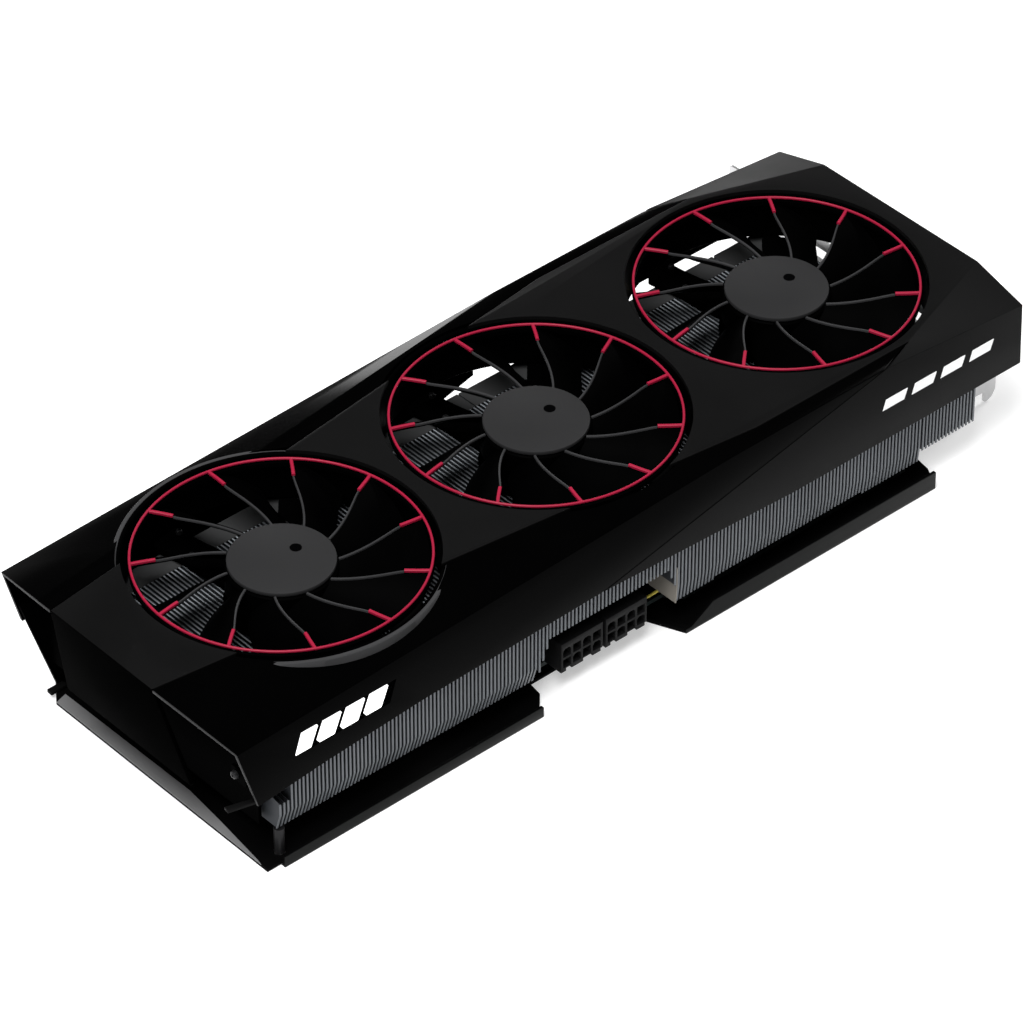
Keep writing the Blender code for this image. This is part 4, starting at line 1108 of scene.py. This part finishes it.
def backplate():
    """Painted sheet with vent slots, two runs of folded lip and its screws; painted shade darkens its top,
    painted light lightens its lips and lays a lit strip at the free end.
    """
    near = -60.2
    outline = [(-163.7, near + 2.0), (-158.2, near + 2.0), (-158.2, near), (-50.0, near), (-50.0, near + 2.2),
               (-44.5, -52.0), (-43.5, -45.8), (5.8, -45.5), (12.3, near), (126.6, near), (131.0, -52.0),
               (133.5, -37.5), (162.0, -36.0), (162.0, 56.0), (-158.0, 56.0), (-163.7, 48.3)]
    # The sheet takes the darker backplate paint: painted shade over its top.
    piece = new_piece("backplate_sheet", prism(outline, 0.0, 1.5), "backplate",
                      replaces=("backplate",))
    left = prism([(-158.2, 0.0), (-50.0, 0.0), (-50.0, 3.9), (-50.3, 4.2), (-157.9, 4.2), (-158.2, 3.9)],
                 near, near + 1.2, "Y")
    right = prism([(12.3, 0.0), (126.6, 0.0), (126.6, 6.9), (126.3, 7.2), (24.3, 7.2)], near, near + 1.2, "Y")
    cut(piece, [left, right], "UNION")
    slots = []
    for column in range(8):
        x = -143.0 + column * 11.0
        slots.append(prism(rounded(rectangle(x - 1.5, -30.0, x + 1.5, 30.0), 1.4), -1.0, 2.5))
    cut(piece, slots)
    finish_bevel(piece, 0.25, 2, 40.0)
    # Faces on the near edge, the lips, get the lighter paint: painted light.
    front = AXIS_Y + (near + 0.5) * MM
    paint(piece, "lip", lambda face: face.center.y < front)
    # Strip of painted light on the backplate top at the free end; its inner outline follows the edge of the
    # card's shadow.
    margin = prism([(-164.0, 47.7), (-159.4, 49.0), (-158.8, -13.9), (-160.7, -31.7), (-163.5, -53.5),
                    (-164.0, -55.5)], 1.45, 1.7)
    new_piece("backplate_painted_light_margin", margin, "margin", smooth=None)
    screws = bmesh.new()
    outer = [(-155.6, -54.4), (-44.0, -40.0), (-44.0, 48.0), (150.0, 48.0), (150.0, -34.0)]
    cooler_side = [(34.0, -30.0), (90.0, -30.0), (34.0, 24.0), (90.0, 24.0)]
    head = [(0.0, 0.25), (1.1, 0.25), (1.3, 0.02), (2.5, 0.02), (2.6, 0.2), (2.6, 0.6), (0.0, 0.6)]
    for x, y in outer + cooler_side:
        add_turned(screws, head, 32, x, y)
    for x, y in outer:
        add_turned(screws, [(0.0, 1.5), (2.0, 1.5), (2.0, 1.8), (0.0, 1.8)], 6, x, y)
    new_piece("backplate_screws", screws, "steel")


def dress_frame():
    """Better materials on the CAD solids that stay."""
    looks = {
        "cold_plate": "copper", "circuit_board": "board", "gpu_package": "board", "gpu_die": "silicon",
        "post_free_end": "dark_steel",
    }
    for i in range(1, 5):
        looks[f"memory_chip_{i}"] = "chip"
        looks[f"standoff_{i}"] = "steel"
    for i in range(1, 4):
        looks[f"inductor_{i}"] = "choke"
    for name in FANS:
        looks["fan_shaft_" + name] = "steel"
        looks["fan_bearing_" + name] = "brass"
        looks["fan_stator_" + name] = "winding"
    for node, look in looks.items():
        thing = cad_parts[node]
        for spot in thing.material_slots:
            spot.material = M[look]


# ---- light, floor and camera ----

def add_area(name, place, target, size, size_y, power):
    lamp = bpy.data.lights.new(name, "AREA")
    lamp.shape = "RECTANGLE"
    lamp.size = size
    lamp.size_y = size_y
    lamp.energy = power
    thing = bpy.data.objects.new(name, lamp)
    bpy.context.scene.collection.objects.link(thing)
    thing.location = place
    thing.rotation_euler = (Vector(target) - Vector(place)).to_track_quat("-Z", "Y").to_euler()


VIEW_BACK = (-0.514687, -0.581729, 0.629832)            # from what the camera looks at towards the camera
VIEW_RIGHT = (0.748898, -0.662686, 0.0)                 # to the right in the picture
VIEW_PLACE = (-1.004177, -1.122980, 1.180193)           # metres from the middle fan's ring to the camera
VIEW_LENS = 207.04                                      # millimetres, on a sensor 36 mm wide


def studio():
    """Sky, three lamps, floor and camera."""
    scene = bpy.context.scene
    world = bpy.data.worlds.new("studio")
    scene.world = world
    world.use_nodes = True
    tree = world.node_tree
    sky = tree.nodes["Background"]
    place = tree.nodes.new("ShaderNodeTexCoord")
    split = tree.nodes.new("ShaderNodeSeparateXYZ")
    ramp = tree.nodes.new("ShaderNodeValToRGB")
    tree.links.new(place.outputs["Generated"], split.inputs["Vector"])
    tree.links.new(split.outputs["Z"], ramp.inputs["Fac"])
    stops = ((0.0, 1.0), (0.07, 0.6), (0.15, 0.14), (0.36, 0.12), (0.62, 0.14), (1.0, 0.5))
    ramp.color_ramp.elements[0].position = stops[0][0]
    ramp.color_ramp.elements[1].position = stops[-1][0]
    for position, value in stops[1:-1]:
        ramp.color_ramp.elements.new(position)
    for element, (position, value) in zip(ramp.color_ramp.elements, stops):
        element.position = position
        element.color = (value, value, value, 1.0)
    tree.links.new(ramp.outputs["Color"], sky.inputs["Color"])
    fill(sky, {"Strength": 1.0})
    add_area("key", (-0.75, -0.35, 1.6), (0.0, 0.0, 0.03), 1.0, 1.0, 52.0)
    add_area("back", (1.3, 1.75, 0.195), (0.1, 0.05, 0.05), 0.7, 0.25, 8.5)
    add_area("right", (1.68, 0.12, 1.7), (0.1, 0.0, 0.05), 0.4, 0.4, 19.0)

    floor = bmesh.new()
    bmesh.ops.create_grid(floor, x_segments=1, y_segments=1, size=6.0)
    mesh = bpy.data.meshes.new("floor")
    floor.to_mesh(mesh)
    floor.free()
    ground = bpy.data.objects.new("floor", mesh)
    scene.collection.objects.link(ground)
    ground.location = (0.0, 0.0, -0.0002)
    paper = surface("floor_paper", (0.66, 0.66, 0.66), (0.68, 0.68, 0.68), (0.85, 0.95), specular=0.1,
                    grain=600.0, grain_strength=0.05, smudge=3.0)
    add_glow(paper, (1.0, 1.0, 1.0), 0.45)
    mesh.materials.append(paper)

    lens = bpy.data.cameras.new("camera")
    lens.sensor_width = 36.0
    lens.lens = VIEW_LENS
    lens.clip_start = 0.05
    lens.clip_end = 50.0
    camera = bpy.data.objects.new("camera", lens)
    scene.collection.objects.link(camera)
    back = Vector(VIEW_BACK).normalized()
    right = Vector(VIEW_RIGHT).normalized()
    turn = Matrix((right, back.cross(right), back)).transposed().to_4x4()
    middle = Vector((AXIS_X, AXIS_Y, RING_Z * MM))
    camera.matrix_world = Matrix.Translation(middle + Vector(VIEW_PLACE)) @ turn
    scene.camera = camera
    scene.view_settings.view_transform = "Standard"


studio()
centre_shell()
wing("wing_near", -1.0, "shroud_wing_near")
wing("wing_far", 1.0, "shroud_wing_far")
collar("collar_near", -1.0)
collar("collar_far", 1.0)
for fan_name in FANS:
    duct(fan_name)
liner()
small_tabs()
stripes()
for fan_name in FANS:
    fan(fan_name)
cooler()
board_details()
power_socket("socket_left", -37.9, "power_socket_left")
power_socket("socket_right", -18.6, "power_socket_right")
bracket()
display_sockets()
backplate()
dress_frame()
